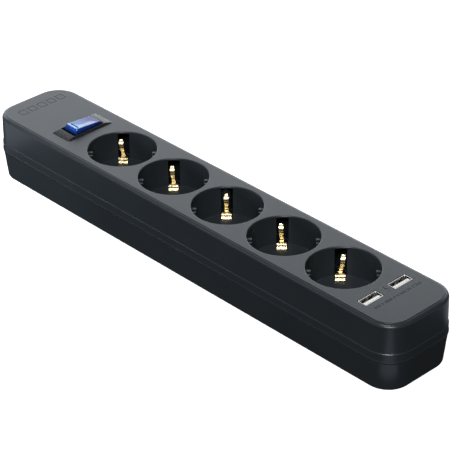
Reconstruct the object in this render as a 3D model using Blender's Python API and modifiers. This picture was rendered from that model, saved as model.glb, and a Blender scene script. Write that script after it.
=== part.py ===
"""Power strip: five recessed 16 A sockets turned 45 degrees, a lit double-pole rocker switch and two
USB-A charging sockets, as an assembly of separate pieces. Metres, +Z up.

The origin is the middle of the underside. +X runs to the USB end, and the switch is at the -X end.
"""

import math

import bmesh
import bpy
from mathutils import Euler, Matrix

MM = 0.001

# Housing
LENGTH = 315 * MM
WIDTH = 53 * MM
HEIGHT = 40 * MM
CORNER_RADIUS = 15.3 * MM
WALL = 2.2 * MM
SEAM_Z = 17.3 * MM
LEDGE_Z = 22 * MM
LEDGE_STEP = 0.4 * MM
TOP_DRAFT = 0.8 * MM
TOP_EDGE_RADIUS = 2.2 * MM
BASE_TAPER = 2.0 * MM
BASE_EDGE_RADIUS = 1.5 * MM
GAP = 0.3 * MM
CORNER_STEPS = 7

# Sockets
SOCKET_COUNT = 5
SOCKET_PITCH = 42.8 * MM
SOCKET_ROW_X = 14.5 * MM
SOCKET_TURN = math.radians(45)
RECESS_RADIUS = 19.5 * MM
RECESS_DEPTH = 17.5 * MM
RIM_CHAMFER = 0.5 * MM
CUP_WALL = 1.5 * MM
CUP_FLOOR = 2.0 * MM
PIN_SPACING = 19 * MM
PIN_HOLE_RADIUS = 3.0 * MM
RIB_WIDTH = 5.4 * MM
RIB_REACH = 2.8 * MM
RIB_TOP_DROP = 4.5 * MM
CLIP_SLOT_WIDTH = 6.6 * MM
CLIP_SLOT_TOP_DROP = 2.0 * MM
CUP_STEPS = 32
FLOOR_Z = HEIGHT - RECESS_DEPTH

# Earth clips: a strip bent in the plane through the socket's axis
CLIP_THICKNESS = 0.6 * MM
CLIP_WIDTH = 6.0 * MM
CLIP_FINGER_WIDTH = 3.2 * MM
CLIP_LEG_RADIUS = 13.9 * MM
CLIP_PLATE_RADIUS = 18.8 * MM
CLIP_BULGE_RADIUS = 15.8 * MM
CLIP_TIP_RADIUS = 19.2 * MM
CLIP_SHOULDER_DEPTH = 14.4 * MM
CLIP_BULGE_DEPTH = 7.7 * MM
CLIP_TIP_DEPTH = 3.3 * MM

# Contact bars under the sockets
BAR_THICKNESS = 0.8 * MM
BAR_WIDTH = 5.0 * MM
MAINS_BAR_Z = 8.0 * MM
EARTH_BAR_Z = 5.0 * MM
LEAF_HEIGHT = 9.5 * MM
LEAF_OFFSET = 2.9 * MM
LEAF_PINCH = 0.5 * MM

# Switch
SWITCH_X = -105.8 * MM
BEZEL_LENGTH = 32.5 * MM
BEZEL_WIDTH = 15.4 * MM
BEZEL_EDGE = 0.4 * MM
BEZEL_RISE = 0.5 * MM
WELL_LENGTH = 21.8 * MM
WELL_WIDTH = 12.1 * MM
HOUSING_LENGTH = 27.0 * MM
HOUSING_WIDTH = 13.7 * MM
HOUSING_BOTTOM = 18.6 * MM
HOUSING_FLOOR = 20.4 * MM
HINGE_Z = 33.0 * MM
ROCKER_TILT = math.radians(5)
ROCKER_BASE = (11.5 * MM, 19.9 * MM)
ROCKER_TOP = (9.2 * MM, 17.8 * MM)
ROCKER_FOOT_Z = 7.0 * MM
ROCKER_TOP_Z = 10.1 * MM
ROCKER_SKIRT_Z = 1.0 * MM
ROCKER_WALL = 1.1 * MM
ROCKER_DISH = 0.45 * MM
PIVOT_RADIUS = 1.2 * MM
POLE_X = 2.9 * MM
PLUNGER_RADIUS = 1.0 * MM
PLUNGER_TIP_Z = -10.0 * MM
PLUNGER_TOP_Z = 2.0 * MM
LEVER_TILT = math.radians(10)
LEVER_RISE = math.radians(12)
LEVER_ARM = 6.0 * MM
LEVER_WIDTH = 3.4 * MM
LEVER_THICKNESS = 0.7 * MM
LEVER_PIVOT_Z = 22.3 * MM
SUPPLY_TERMINAL_Y = 7.6 * MM
TERMINAL_BOTTOM = 11 * MM

# USB sockets and charger board
USB_X = 129.0 * MM
USB_Y = 10.8 * MM
USB_SHELL = (5.7 * MM, 13.1 * MM, 12.4 * MM)
USB_WALL = 0.4 * MM
BOARD_TOP = 26.6 * MM
BOARD_THICKNESS = 1.6 * MM
BOARD_X = 132.8 * MM
BOARD_LENGTH = 20.0 * MM
BOARD_WIDTH = 40.0 * MM

# Cord entry in the end wall
CORD_Z = 9.5 * MM
GLAND_RADIUS = 5.7 * MM
GLAND_BORE = 3.9 * MM
CLAMP_X = -140.0 * MM
CLAMP_SCREW_Y = 8.5 * MM

# Screws: (x, y) of the six that hold base and cover
SCREW_PLACES = [
    (-128 * MM, 18.8 * MM),
    (-128 * MM, -18.8 * MM),
    (-6.9 * MM, 18.8 * MM),
    (-6.9 * MM, -18.8 * MM),
    (147 * MM, 13 * MM),
    (147 * MM, -13 * MM),
]
SCREW_HEAD_RADIUS = 2.8 * MM
SCREW_HEAD_HEIGHT = 1.8 * MM
SCREW_SHANK_RADIUS = 1.3 * MM
SCREW_LENGTH = 14 * MM
POST_RADIUS = 3.2 * MM
COUNTERBORE_DEPTH = 4.0 * MM
COUNTERBORE_RADIUS = 3.4 * MM

# Keyhole slots for hanging the strip on two screws
KEYHOLE_SPACING = 240 * MM
KEYHOLE_HEAD_RADIUS = 4.2 * MM
KEYHOLE_SLOT_RADIUS = 2.1 * MM
KEYHOLE_SLOT_LENGTH = 9 * MM

# Inner wires: colour, and the points of the route in millimetres
WIRE_RADIUS = 1.1 * MM
WIRES = {
    "line_supply_wire": (
        "brown",
        [(-134, 2.2, 10.6), (-127, 4.5, 9.4), (-118, 6.8, 8.2)]
        + [(-111.6, 7.6, 7.8), (-108.9, 7.6, 8.8), (-108.7, 7.6, 10.6)],
    ),
    "neutral_supply_wire": (
        "wire_blue",
        [(-134, -2.2, 10.6), (-127, 0.5, 13.4), (-119, 8.5, 13.2), (-111, 12, 10.8)]
        + [(-105, 10.6, 8.2), (-103, 8, 8.6), (-102.9, 7.6, 10.6)],
    ),
    "earth_supply_wire": (
        "wire_green",
        [(-134, 0, 7.4), (-127, -5, 5.4), (-114, -7.4, 4.4), (-100, -5.5, 4.2), (-93, -1, 5), (-88.4, 0, 5.4)],
    ),
    "line_switched_wire": (
        "brown",
        [(-108.7, 0, 10.6), (-108.3, 0.4, 8.2), (-104, 2.4, 6.4), (-97, 5, 6.9), (-92, 5.8, 8.4), (-88.4, 5.8, 8.4)],
    ),
    "neutral_switched_wire": (
        "wire_blue",
        [(-102.9, 0, 10.6), (-102.5, -0.8, 8.8), (-98.5, -4, 8), (-93, -5.8, 8.4), (-88.4, -5.8, 8.4)],
    ),
    "line_charger_wire": (
        "brown",
        [(112.4, 5.8, 8.4), (116, 6.2, 8.6), (121, 9.5, 13), (125, 12.6, 20), (125.6, 13, 24.6)],
    ),
    "neutral_charger_wire": (
        "wire_blue",
        [(112.4, -5.8, 8.4), (116, -5.4, 8.6), (121, -4, 12), (124, -3.5, 19), (124, -3.5, 24.6)],
    ),
}

# Colour, roughness and metallic of each material
COLOURS = {
    "charcoal": ((0.050, 0.056, 0.063, 1), 0.45, 0.0),
    "dark_grey": ((0.035, 0.035, 0.038, 1), 0.35, 0.0),
    "blue": ((0.03, 0.10, 0.55, 1), 0.25, 0.0),
    "brass": ((0.78, 0.57, 0.20, 1), 0.25, 1.0),
    "steel": ((0.60, 0.61, 0.63, 1), 0.30, 1.0),
    "white": ((0.85, 0.85, 0.83, 1), 0.45, 0.0),
    "board": ((0.03, 0.22, 0.10, 1), 0.50, 0.0),
    "brown": ((0.22, 0.10, 0.05, 1), 0.50, 0.0),
    "wire_blue": ((0.05, 0.16, 0.50, 1), 0.50, 0.0),
    "wire_green": ((0.30, 0.50, 0.08, 1), 0.50, 0.0),
    "lamp": ((0.95, 0.80, 0.60, 0.6), 0.10, 0.0),
    "black": ((0.02, 0.02, 0.02, 1), 0.60, 0.0),
}


# Building blocks


def collection(name):
    made = bpy.data.collections.new(name)
    bpy.context.scene.collection.children.link(made)
    return made


def material(name):
    made = bpy.data.materials.get(name)
    if made is None:
        colour, roughness, metallic = COLOURS[name]
        made = bpy.data.materials.new(name)
        made.use_nodes = True
        shader = made.node_tree.nodes["Principled BSDF"]
        shader.inputs["Base Color"].default_value = colour
        shader.inputs["Roughness"].default_value = roughness
        shader.inputs["Metallic"].default_value = metallic
    return made


def add_object(name, mesh, colour=None):
    """A finished piece goes in the part's collection, and a piece with no colour is a cutter."""
    made = bpy.data.objects.new(name, mesh)
    if colour is None:
        CUTTERS.objects.link(made)
        made.hide_render = True
        made.display_type = "WIRE"
    else:
        PARTS.objects.link(made)
        mesh.materials.clear()
        mesh.materials.append(material(colour))
    return made


def mesh_from(bm, name):
    bmesh.ops.recalc_face_normals(bm, faces=bm.faces)
    mesh = bpy.data.meshes.new(name)
    bm.to_mesh(mesh)
    bm.free()
    mesh.shade_smooth()
    mesh.set_sharp_from_angle(angle=math.radians(35))
    return mesh


def box(name, size, centre, colour=None):
    bm = bmesh.new()
    bmesh.ops.create_cube(bm, size=1)
    bmesh.ops.scale(bm, vec=size, verts=bm.verts)
    bmesh.ops.translate(bm, vec=centre, verts=bm.verts)
    return add_object(name, mesh_from(bm, name), colour)


def cylinder(name, radius, low, high, place, steps=16, colour=None, top_radius=None, axis="Z"):
    """A cylinder or cone along an axis, from low to high, through place on the other two axes."""
    bm = bmesh.new()
    bmesh.ops.create_cone(
        bm,
        cap_ends=True,
        segments=steps,
        radius1=radius,
        radius2=radius if top_radius is None else top_radius,
        depth=high - low,
    )
    bmesh.ops.rotate(bm, cent=(0, 0, 0), matrix=Matrix.Rotation(math.pi / steps, 3, "Z"), verts=bm.verts)
    bmesh.ops.translate(bm, vec=(0, 0, (low + high) / 2), verts=bm.verts)
    if axis == "X":
        bmesh.ops.rotate(bm, cent=(0, 0, 0), matrix=Matrix.Rotation(math.pi / 2, 3, "Y"), verts=bm.verts)
        offset = (0, place[0], place[1])
    elif axis == "Y":
        bmesh.ops.rotate(bm, cent=(0, 0, 0), matrix=Matrix.Rotation(-math.pi / 2, 3, "X"), verts=bm.verts)
        offset = (place[0], 0, place[1])
    else:
        offset = (place[0], place[1], 0)
    bmesh.ops.translate(bm, vec=offset, verts=bm.verts)
    return add_object(name, mesh_from(bm, name), colour)


def ring_points(length, width, radius, steps):
    """A rectangle with round corners, anticlockwise, as points in the XY plane."""
    points = []
    for corner in range(4):
        x_side = 1 if corner in (0, 3) else -1
        y_side = 1 if corner in (0, 1) else -1
        centre_x = x_side * (length / 2 - radius)
        centre_y = y_side * (width / 2 - radius)
        for step in range(steps + 1):
            angle = math.pi / 2 * (corner + step / steps)
            points.append((centre_x + radius * math.cos(angle), centre_y + radius * math.sin(angle)))
    return points


def loft(name, levels, steps=CORNER_STEPS, centre=(0, 0), colour=None):
    """A round-cornered block through levels of (height, length, width, corner radius), bottom to top."""
    bm = bmesh.new()
    rings = []
    for z, length, width, radius in levels:
        outline = ring_points(length, width, radius, steps)
        rings.append([bm.verts.new((x + centre[0], y + centre[1], z)) for x, y in outline])
    for lower, upper in zip(rings, rings[1:]):
        for i in range(len(lower)):
            j = (i + 1) % len(lower)
            bm.faces.new((lower[i], lower[j], upper[j], upper[i]))
    bm.faces.new(reversed(rings[0]))
    bm.faces.new(rings[-1])
    return add_object(name, mesh_from(bm, name), colour)


def body_level(z, inset):
    """A level of the housing's outline, stepped in from its widest by inset."""
    return (z, LENGTH - 2 * inset, WIDTH - 2 * inset, CORNER_RADIUS - inset)


def turned(name, profile, steps, colour=None):
    """A solid turned about Z from a profile of (radius, height), listed top to bottom."""
    bm = bmesh.new()
    verts = [bm.verts.new((radius, 0, z)) for radius, z in profile]
    for upper, lower in zip(verts, verts[1:]):
        bm.edges.new((upper, lower))
    mesh = bpy.data.meshes.new(name)
    bm.to_mesh(mesh)
    bm.free()
    made = add_object(name, mesh, colour)
    screw = made.modifiers.new("turn", "SCREW")
    screw.steps = steps
    screw.render_steps = steps
    screw.use_merge_vertices = True
    screw.merge_threshold = 0.00001
    return made


def outline_plate(name, points, thickness, colour=None):
    """A flat piece with the given outline in the YZ plane, centred on X = 0."""
    curve = bpy.data.curves.new(name, "CURVE")
    curve.dimensions = "2D"
    curve.fill_mode = "BOTH"
    curve.extrude = thickness / 2
    spline = curve.splines.new("POLY")
    spline.points.add(len(points) - 1)
    for point, (across, up) in zip(spline.points, points):
        point.co = (across, up, 0, 1)
    spline.use_cyclic_u = True
    outline = bpy.data.objects.new(name + "_outline", curve)
    CUTTERS.objects.link(outline)
    mesh = baked(outline, name)
    mesh.transform(Euler((math.pi / 2, 0, math.pi / 2)).to_matrix().to_4x4())
    bpy.data.objects.remove(outline)
    return add_object(name, mesh, colour)


def strip(name, path, width, thickness, colour=None):
    """Sheet metal bent along a path in the XZ plane, with its width along Y."""
    bm = bmesh.new()
    rows = []
    for x, z in path:
        rows.append((bm.verts.new((x, -width / 2, z)), bm.verts.new((x, width / 2, z))))
    for (a, b), (c, d) in zip(rows, rows[1:]):
        bm.faces.new((a, b, d, c))
    made = add_object(name, mesh_from(bm, name), colour)
    solidify = made.modifiers.new("thickness", "SOLIDIFY")
    solidify.thickness = thickness
    solidify.offset = 0
    solidify.use_even_offset = True
    return made


def wire(name, route, radius, colour):
    """An insulated wire along a smooth curve through the route's points."""
    curve = bpy.data.curves.new(name, "CURVE")
    curve.dimensions = "3D"
    curve.bevel_depth = radius
    curve.bevel_resolution = 1
    curve.resolution_u = 3
    curve.use_fill_caps = True
    spline = curve.splines.new("BEZIER")
    spline.bezier_points.add(len(route) - 1)
    for point, place in zip(spline.bezier_points, route):
        point.co = [value * MM for value in place]
        point.handle_left_type = "AUTO"
        point.handle_right_type = "AUTO"
    made = bpy.data.objects.new(name, curve)
    curve.materials.append(material(colour))
    PARTS.objects.link(made)
    return made


def baked(source, name):
    """The evaluated mesh of an object, with its loose caps welded."""
    bpy.context.view_layer.update()
    graph = bpy.context.evaluated_depsgraph_get()
    mesh = bpy.data.meshes.new_from_object(source.evaluated_get(graph))
    bm = bmesh.new()
    bm.from_mesh(mesh)
    bmesh.ops.remove_doubles(bm, verts=bm.verts, dist=0.001 * MM)
    bmesh.ops.recalc_face_normals(bm, faces=bm.faces)
    bm.to_mesh(mesh)
    bm.free()
    mesh.name = name
    return mesh


def boolean(target, other, operation):
    modifier = target.modifiers.new(other.name, "BOOLEAN")
    modifier.operation = operation
    modifier.solver = "EXACT"
    modifier.object = other


def cut(target, *cutters):
    for cutter in cutters:
        boolean(target, cutter, "DIFFERENCE")


def join(target, *others):
    for other in others:
        boolean(target, other, "UNION")


def move(target, place, turn=(0, 0, 0)):
    target.location = place
    target.rotation_euler = turn
    return target


# Places worked out from the driving dimensions


def socket_x(number):
    return SOCKET_ROW_X + (number - (SOCKET_COUNT - 1) / 2) * SOCKET_PITCH


def radial(number, distance, side):
    """A point at distance from a socket's axis, towards its pins (side "pin") or clips (side "clip")."""
    angle = SOCKET_TURN if side == "pin" else SOCKET_TURN + math.pi / 2
    return (socket_x(number) + distance * math.cos(angle), distance * math.sin(angle))


def between_sockets():
    return [socket_x(number) + SOCKET_PITCH / 2 for number in range(SOCKET_COUNT - 1)]


def axis_empty(name, place, tilt):
    """The empty that a moving piece hangs from, on its joint's axis, with the tilt it rests at."""
    empty = bpy.data.objects.new(name, None)
    PARTS.objects.link(empty)
    return move(empty, place, (tilt, 0, 0))


# Housing


def make_top_cover():
    edge = TOP_EDGE_RADIUS
    levels = [
        body_level(SEAM_Z + GAP / 2, 0),
        body_level(LEDGE_Z, 0),
        body_level(LEDGE_Z + 0.15 * MM, LEDGE_STEP),
        body_level(HEIGHT - edge, TOP_DRAFT),
    ]
    for angle in (math.radians(35), math.radians(65), math.radians(90)):
        levels.append(
            body_level(HEIGHT - edge + edge * math.sin(angle), TOP_DRAFT + edge * (1 - math.cos(angle)))
        )
    cover = loft("top_cover", levels, colour="charcoal")
    inside = [
        body_level(SEAM_Z - 5 * MM, WALL),
        body_level(LEDGE_Z, WALL),
        body_level(HEIGHT - WALL, WALL + TOP_DRAFT),
    ]
    cut(cover, loft("cover_inside", inside))
    for number in range(SOCKET_COUNT):
        add_socket(cover, number)
    add_posts(cover)
    cut_windows(cover)
    return cover


def add_socket(cover, number):
    name = f"socket_{number + 1}_"
    centre = (socket_x(number), 0)
    turn = (0, 0, SOCKET_TURN)
    place = (centre[0], 0, 0)
    outer = RECESS_RADIUS + CUP_WALL
    join(cover, cylinder(name + "cup", outer, FLOOR_Z - CUP_FLOOR, HEIGHT - 1 * MM, centre, CUP_STEPS))
    cut(cover, cylinder(name + "recess", RECESS_RADIUS, FLOOR_Z, HEIGHT + 1 * MM, centre, CUP_STEPS))
    rim = cylinder(
        name + "rim",
        RECESS_RADIUS,
        HEIGHT - RIM_CHAMFER,
        HEIGHT + RIM_CHAMFER,
        centre,
        CUP_STEPS,
        top_radius=RECESS_RADIUS + 2 * RIM_CHAMFER,
    )
    cut(cover, rim)
    for side in (1, -1):
        tag = "a" if side > 0 else "b"
        rib_inner = RECESS_RADIUS - RIB_REACH
        rib_outer = RECESS_RADIUS + CUP_WALL / 2
        rib_low = FLOOR_Z - CUP_FLOOR / 2
        rib_high = HEIGHT - RIB_TOP_DROP
        rib = box(
            name + "rib_" + tag,
            (rib_outer - rib_inner, RIB_WIDTH, rib_high - rib_low),
            (side * (rib_inner + rib_outer) / 2, 0, (rib_low + rib_high) / 2),
        )
        join(cover, move(rib, place, turn))
        slot_low = FLOOR_Z - 0.5 * MM
        slot_high = HEIGHT - CLIP_SLOT_TOP_DROP
        slot = box(
            name + "clip_slot_" + tag,
            (4 * MM, CLIP_SLOT_WIDTH, slot_high - slot_low),
            (side * (RECESS_RADIUS + 1.2 * MM), 0, (slot_low + slot_high) / 2),
        )
        leg_hole = box(
            name + "leg_hole_" + tag,
            (1.4 * MM, 3.8 * MM, 3 * CUP_FLOOR),
            (side * CLIP_LEG_RADIUS, 0, FLOOR_Z - CUP_FLOOR / 2),
        )
        clip_turn = (0, 0, SOCKET_TURN + math.pi / 2)
        cut(cover, move(slot, place, clip_turn), move(leg_hole, place, clip_turn))
        pin_hole = cylinder(
            name + "pin_hole_" + tag,
            PIN_HOLE_RADIUS,
            FLOOR_Z - 2 * CUP_FLOOR,
            FLOOR_Z + CUP_FLOOR,
            radial(number, side * PIN_SPACING / 2, "pin"),
        )
        cut(cover, pin_hole)


def add_posts(cover):
    low = COUNTERBORE_DEPTH + 2.4 * MM + GAP
    for number, place in enumerate(SCREW_PLACES):
        join(cover, cylinder(f"post_{number}", POST_RADIUS, low, HEIGHT - 1.2 * MM, place, 12))
        cut(cover, cylinder(f"post_hole_{number}", SCREW_SHANK_RADIUS + GAP, low - 1 * MM, 21 * MM, place, 10))


def cut_windows(cover):
    middle_z = HEIGHT - WALL / 2
    size = (HOUSING_WIDTH + 2 * GAP, HOUSING_LENGTH + 2 * GAP, 3 * WALL)
    cut(cover, box("switch_window", size, (SWITCH_X, 0, middle_z)))
    for side in (1, -1):
        size = (USB_SHELL[0] + 2 * GAP, USB_SHELL[1] + 2 * GAP, 3 * WALL)
        cut(cover, box(f"usb_window_{side}", size, (USB_X, side * USB_Y, middle_z)))


def make_base():
    top = SEAM_Z - GAP / 2
    levels = [
        body_level(0, BASE_TAPER + 0.75 * BASE_EDGE_RADIUS),
        body_level(0.3 * BASE_EDGE_RADIUS, BASE_TAPER + 0.3 * BASE_EDGE_RADIUS),
        body_level(BASE_EDGE_RADIUS, BASE_TAPER),
        body_level(top, 0.15 * MM),
    ]
    base = loft("base", levels, colour="charcoal")
    inside = [
        body_level(WALL, BASE_TAPER + WALL),
        body_level(top + 1 * MM, WALL),
    ]
    cut(base, loft("base_inside", inside))
    lip_low = 12 * MM
    lip_high = 20 * MM
    lip = loft("lip", [body_level(lip_low, WALL + GAP), body_level(lip_high, WALL + GAP)])
    lip_inside_inset = WALL + GAP + 1.2 * MM
    lip_inside = loft(
        "lip_inside",
        [body_level(lip_low - 1 * MM, lip_inside_inset), body_level(lip_high + 1 * MM, lip_inside_inset)],
    )
    cut(lip, lip_inside)
    join(base, lip)
    add_bosses(base)
    add_supports(base)
    cut_gland_hole(base)
    cut_keyholes(base)
    return base


def add_bosses(base):
    boss_top = COUNTERBORE_DEPTH + 2.4 * MM
    for number, place in enumerate(SCREW_PLACES):
        join(base, cylinder(f"boss_{number}", COUNTERBORE_RADIUS + 1.2 * MM, 1 * MM, boss_top, place, 12))
        cut(base, cylinder(f"counterbore_{number}", COUNTERBORE_RADIUS, -1 * MM, COUNTERBORE_DEPTH, place, 12))
        hole = SCREW_SHANK_RADIUS + GAP
        cut(base, cylinder(f"screw_hole_{number}", hole, 0, boss_top + 1 * MM, place, 10))


def add_supports(base):
    """Stubs under the contact bars, and posts under the charger board and the cord clamp."""
    low = 1 * MM
    for number, x in enumerate(between_sockets()):
        for lane, (y, high, width) in enumerate(
            [(0, EARTH_BAR_Z, 4 * MM), (bar_y(1), MAINS_BAR_Z, 3 * MM), (bar_y(-1), MAINS_BAR_Z, 3 * MM)]
        ):
            top = high - GAP
            size = (2 * MM, width, top - low)
            join(base, box(f"stub_{number}_{lane}", size, (x, y, (low + top) / 2)))
    for side in (1, -1):
        board_post = cylinder(
            f"board_post_{side}",
            2 * MM,
            low,
            BOARD_TOP - BOARD_THICKNESS - GAP,
            (BOARD_X - BOARD_LENGTH / 2 + 3 * MM, side * 17.3 * MM),
            10,
        )
        clamp_post = cylinder(f"clamp_post_{side}", 3 * MM, low, 9 * MM, (CLAMP_X, side * CLAMP_SCREW_Y), 12)
        clamp_hole = cylinder(
            f"clamp_hole_{side}",
            SCREW_SHANK_RADIUS + GAP,
            3 * MM,
            10 * MM,
            (CLAMP_X, side * CLAMP_SCREW_Y),
            10,
        )
        join(base, board_post, clamp_post)
        cut(base, clamp_hole)
    join(base, box("cord_saddle", (4 * MM, 9 * MM, 4.3 * MM), (CLAMP_X, 0, 3.15 * MM)))


def cut_gland_hole(base):
    end = -LENGTH / 2
    cut(base, cylinder("gland_hole", GLAND_RADIUS + GAP, end - 1 * MM, end + 5 * MM, (0, CORD_Z), 20, axis="X"))


def cut_keyholes(base):
    for side in (1, -1):
        x = side * KEYHOLE_SPACING / 2
        head = cylinder(f"keyhole_head_{side}", KEYHOLE_HEAD_RADIUS, -1 * MM, 2 * WALL, (x, 0), 16)
        size = (KEYHOLE_SLOT_LENGTH, 2 * KEYHOLE_SLOT_RADIUS, 3 * WALL)
        slot = box(f"keyhole_slot_{side}", size, (x + KEYHOLE_SLOT_LENGTH / 2, 0, WALL / 2))
        end = cylinder(
            f"keyhole_end_{side}", KEYHOLE_SLOT_RADIUS, -1 * MM, 2 * WALL, (x + KEYHOLE_SLOT_LENGTH, 0), 12
        )
        cut(base, head, slot, end)


# Contacts


def make_earth_clips():
    """A brass strip: leg through the floor, foot on the floor, plate, and a sprung finger in the slot."""
    path = [
        (CLIP_LEG_RADIUS, EARTH_BAR_Z + BAR_THICKNESS + GAP),
        (CLIP_LEG_RADIUS, FLOOR_Z + 0.6 * MM),
        (CLIP_PLATE_RADIUS, FLOOR_Z + 0.6 * MM),
        (CLIP_PLATE_RADIUS + 0.2 * MM, HEIGHT - CLIP_SHOULDER_DEPTH),
        (CLIP_BULGE_RADIUS + 0.4 * MM, HEIGHT - CLIP_BULGE_DEPTH - 1.2 * MM),
        (CLIP_BULGE_RADIUS + 0.2 * MM, HEIGHT - CLIP_BULGE_DEPTH + 0.6 * MM),
        (CLIP_TIP_RADIUS, HEIGHT - CLIP_TIP_DEPTH),
    ]
    blank = strip("clip_blank", path, CLIP_WIDTH, CLIP_THICKNESS)
    half = CLIP_WIDTH / 2
    finger = CLIP_FINGER_WIDTH / 2
    shoulder_z = HEIGHT - CLIP_SHOULDER_DEPTH
    tip_z = HEIGHT - CLIP_TIP_DEPTH
    right_side = [
        (1.5 * MM, 0),
        (1.5 * MM, FLOOR_Z + 0.1 * MM),
        (half - 0.02 * MM, FLOOR_Z + 0.1 * MM),
        (half - 0.02 * MM, shoulder_z),
        (finger + 0.5 * MM, shoulder_z + 0.6 * MM),
        (finger, shoulder_z + 1.6 * MM),
        (finger, tip_z - 1.0 * MM),
        (finger * 0.6, tip_z - 0.2 * MM),
    ]
    left_side = [(-y, z) for y, z in reversed(right_side)]
    pattern = outline_plate("clip_outline", right_side + left_side, 60 * MM)
    boolean(blank, pattern, "INTERSECT")
    mesh = baked(blank, "earth_clip")
    mesh.materials.clear()
    mesh.materials.append(material("brass"))
    bpy.data.objects.remove(blank)
    bpy.data.objects.remove(pattern)
    for number in range(SOCKET_COUNT):
        for tag, turn in (("far", SOCKET_TURN + math.pi / 2), ("near", SOCKET_TURN - math.pi / 2)):
            clip = bpy.data.objects.new(f"earth_clip_{number + 1}_{tag}", mesh)
            PARTS.objects.link(clip)
            move(clip, (socket_x(number), 0, 0), (0, 0, turn))


def bar_y(side):
    """Across place of a mains bar: a little inboard of its pins, so the earth legs pass outside it."""
    return side * (PIN_SPACING / 2 * math.sin(SOCKET_TURN) - 0.9 * MM)


def bar_ends():
    low = socket_x(0) - 17 * MM
    high = socket_x(SOCKET_COUNT - 1) + 12 * MM
    return low, high


def make_mains_bar(name, side):
    """One pole's brass strip, with a pair of folded leaves under each socket's pin hole."""
    low, high = bar_ends()
    z = MAINS_BAR_Z + BAR_THICKNESS / 2
    size = (high - low, BAR_WIDTH - 1.4 * MM, BAR_THICKNESS)
    bar = box(name, size, ((low + high) / 2, bar_y(side), z), "brass")
    for number in range(SOCKET_COUNT):
        x, y = radial(number, side * PIN_SPACING / 2, "pin")
        for leaf in (1, -1):
            path = [
                (x + leaf * LEAF_OFFSET, z - 0.1 * MM),
                (x + leaf * LEAF_OFFSET, z + 0.55 * LEAF_HEIGHT),
                (x + leaf * (LEAF_OFFSET - LEAF_PINCH), z + 0.8 * LEAF_HEIGHT),
                (x + leaf * LEAF_OFFSET, z + LEAF_HEIGHT),
            ]
            made = strip(f"{name}_leaf_{number}_{leaf}", path, BAR_WIDTH - 1 * MM, 0.6 * MM)
            join(bar, move(made, (0, y, 0)))
    return bar


def make_earth_bar():
    low, high = bar_ends()
    z = EARTH_BAR_Z + BAR_THICKNESS / 2
    bar = box("earth_busbar", (high - low, 6 * MM, BAR_THICKNESS), ((low + high) / 2, 0, z), "brass")
    for number in range(SOCKET_COUNT):
        for side in (1, -1):
            x, y = radial(number, side * CLIP_LEG_RADIUS, "clip")
            reach = y + math.copysign(2.6 * MM, y)
            size = (5 * MM, abs(reach), BAR_THICKNESS * 0.98)
            join(bar, box(f"earth_arm_{number}_{side}", size, (x, reach / 2, z)))
    return bar


# Switch


def make_switch_housing():
    flange_low = HEIGHT + GAP
    levels = [
        (flange_low, BEZEL_WIDTH, BEZEL_LENGTH, 1.2 * MM),
        (flange_low + BEZEL_EDGE, BEZEL_WIDTH, BEZEL_LENGTH, 1.2 * MM),
        (flange_low + BEZEL_EDGE + BEZEL_RISE, WELL_WIDTH + 0.5 * MM, WELL_LENGTH + 0.8 * MM, 0.6 * MM),
    ]
    housing = loft("switch_housing", levels, 3, (SWITCH_X, 0), "dark_grey")
    body_high = flange_low + BEZEL_EDGE / 2
    body_size = (HOUSING_WIDTH, HOUSING_LENGTH, body_high - HOUSING_BOTTOM)
    join(housing, box("switch_body", body_size, (SWITCH_X, 0, (body_high + HOUSING_BOTTOM) / 2)))
    well_high = HEIGHT + 3 * MM
    well_size = (WELL_WIDTH, WELL_LENGTH, well_high - HOUSING_FLOOR)
    cut(housing, box("switch_well", well_size, (SWITCH_X, 0, (well_high + HOUSING_FLOOR) / 2)))
    half = HOUSING_WIDTH / 2 + 1 * MM
    pivot_hole = cylinder("pivot_hole", PIVOT_RADIUS + GAP, -half, half, (0, HINGE_Z), 12, axis="X")
    cut(housing, move(pivot_hole, (SWITCH_X, 0, 0)))
    for side in (1, -1):
        x = SWITCH_X + side * POLE_X
        for y in (0, SUPPLY_TERMINAL_Y):
            size = (3 * MM + 2 * GAP, 0.8 * MM + 2 * GAP, 6 * MM)
            cut(housing, box(f"terminal_slot_{side}_{y}", size, (x, y, HOUSING_FLOOR - 1 * MM)))
    return housing


def make_terminals():
    for side, pole in ((-1, "line"), (1, "neutral")):
        x = SWITCH_X + side * POLE_X
        top = LEVER_PIVOT_Z - LEVER_THICKNESS / 2 - 0.35 * MM
        size = (3 * MM, 0.8 * MM, top - TERMINAL_BOTTOM)
        box(f"{pole}_pivot_terminal", size, (x, 0, (top + TERMINAL_BOTTOM) / 2), "brass")
        pad_z = HOUSING_FLOOR + 1.0 * MM
        path = [(4.6 * MM, pad_z), (SUPPLY_TERMINAL_Y, pad_z), (SUPPLY_TERMINAL_Y, TERMINAL_BOTTOM)]
        terminal = strip(f"{pole}_supply_terminal", path, 3 * MM, 0.8 * MM, "brass")
        move(terminal, (x, 0, 0), (0, 0, math.pi / 2))


def hang(*objects):
    """Hangs what is modelled level about the rocker's pivot from the pivot's empty, which tilts it."""
    for item in objects:
        item.parent = ROCKER_AXIS


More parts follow.
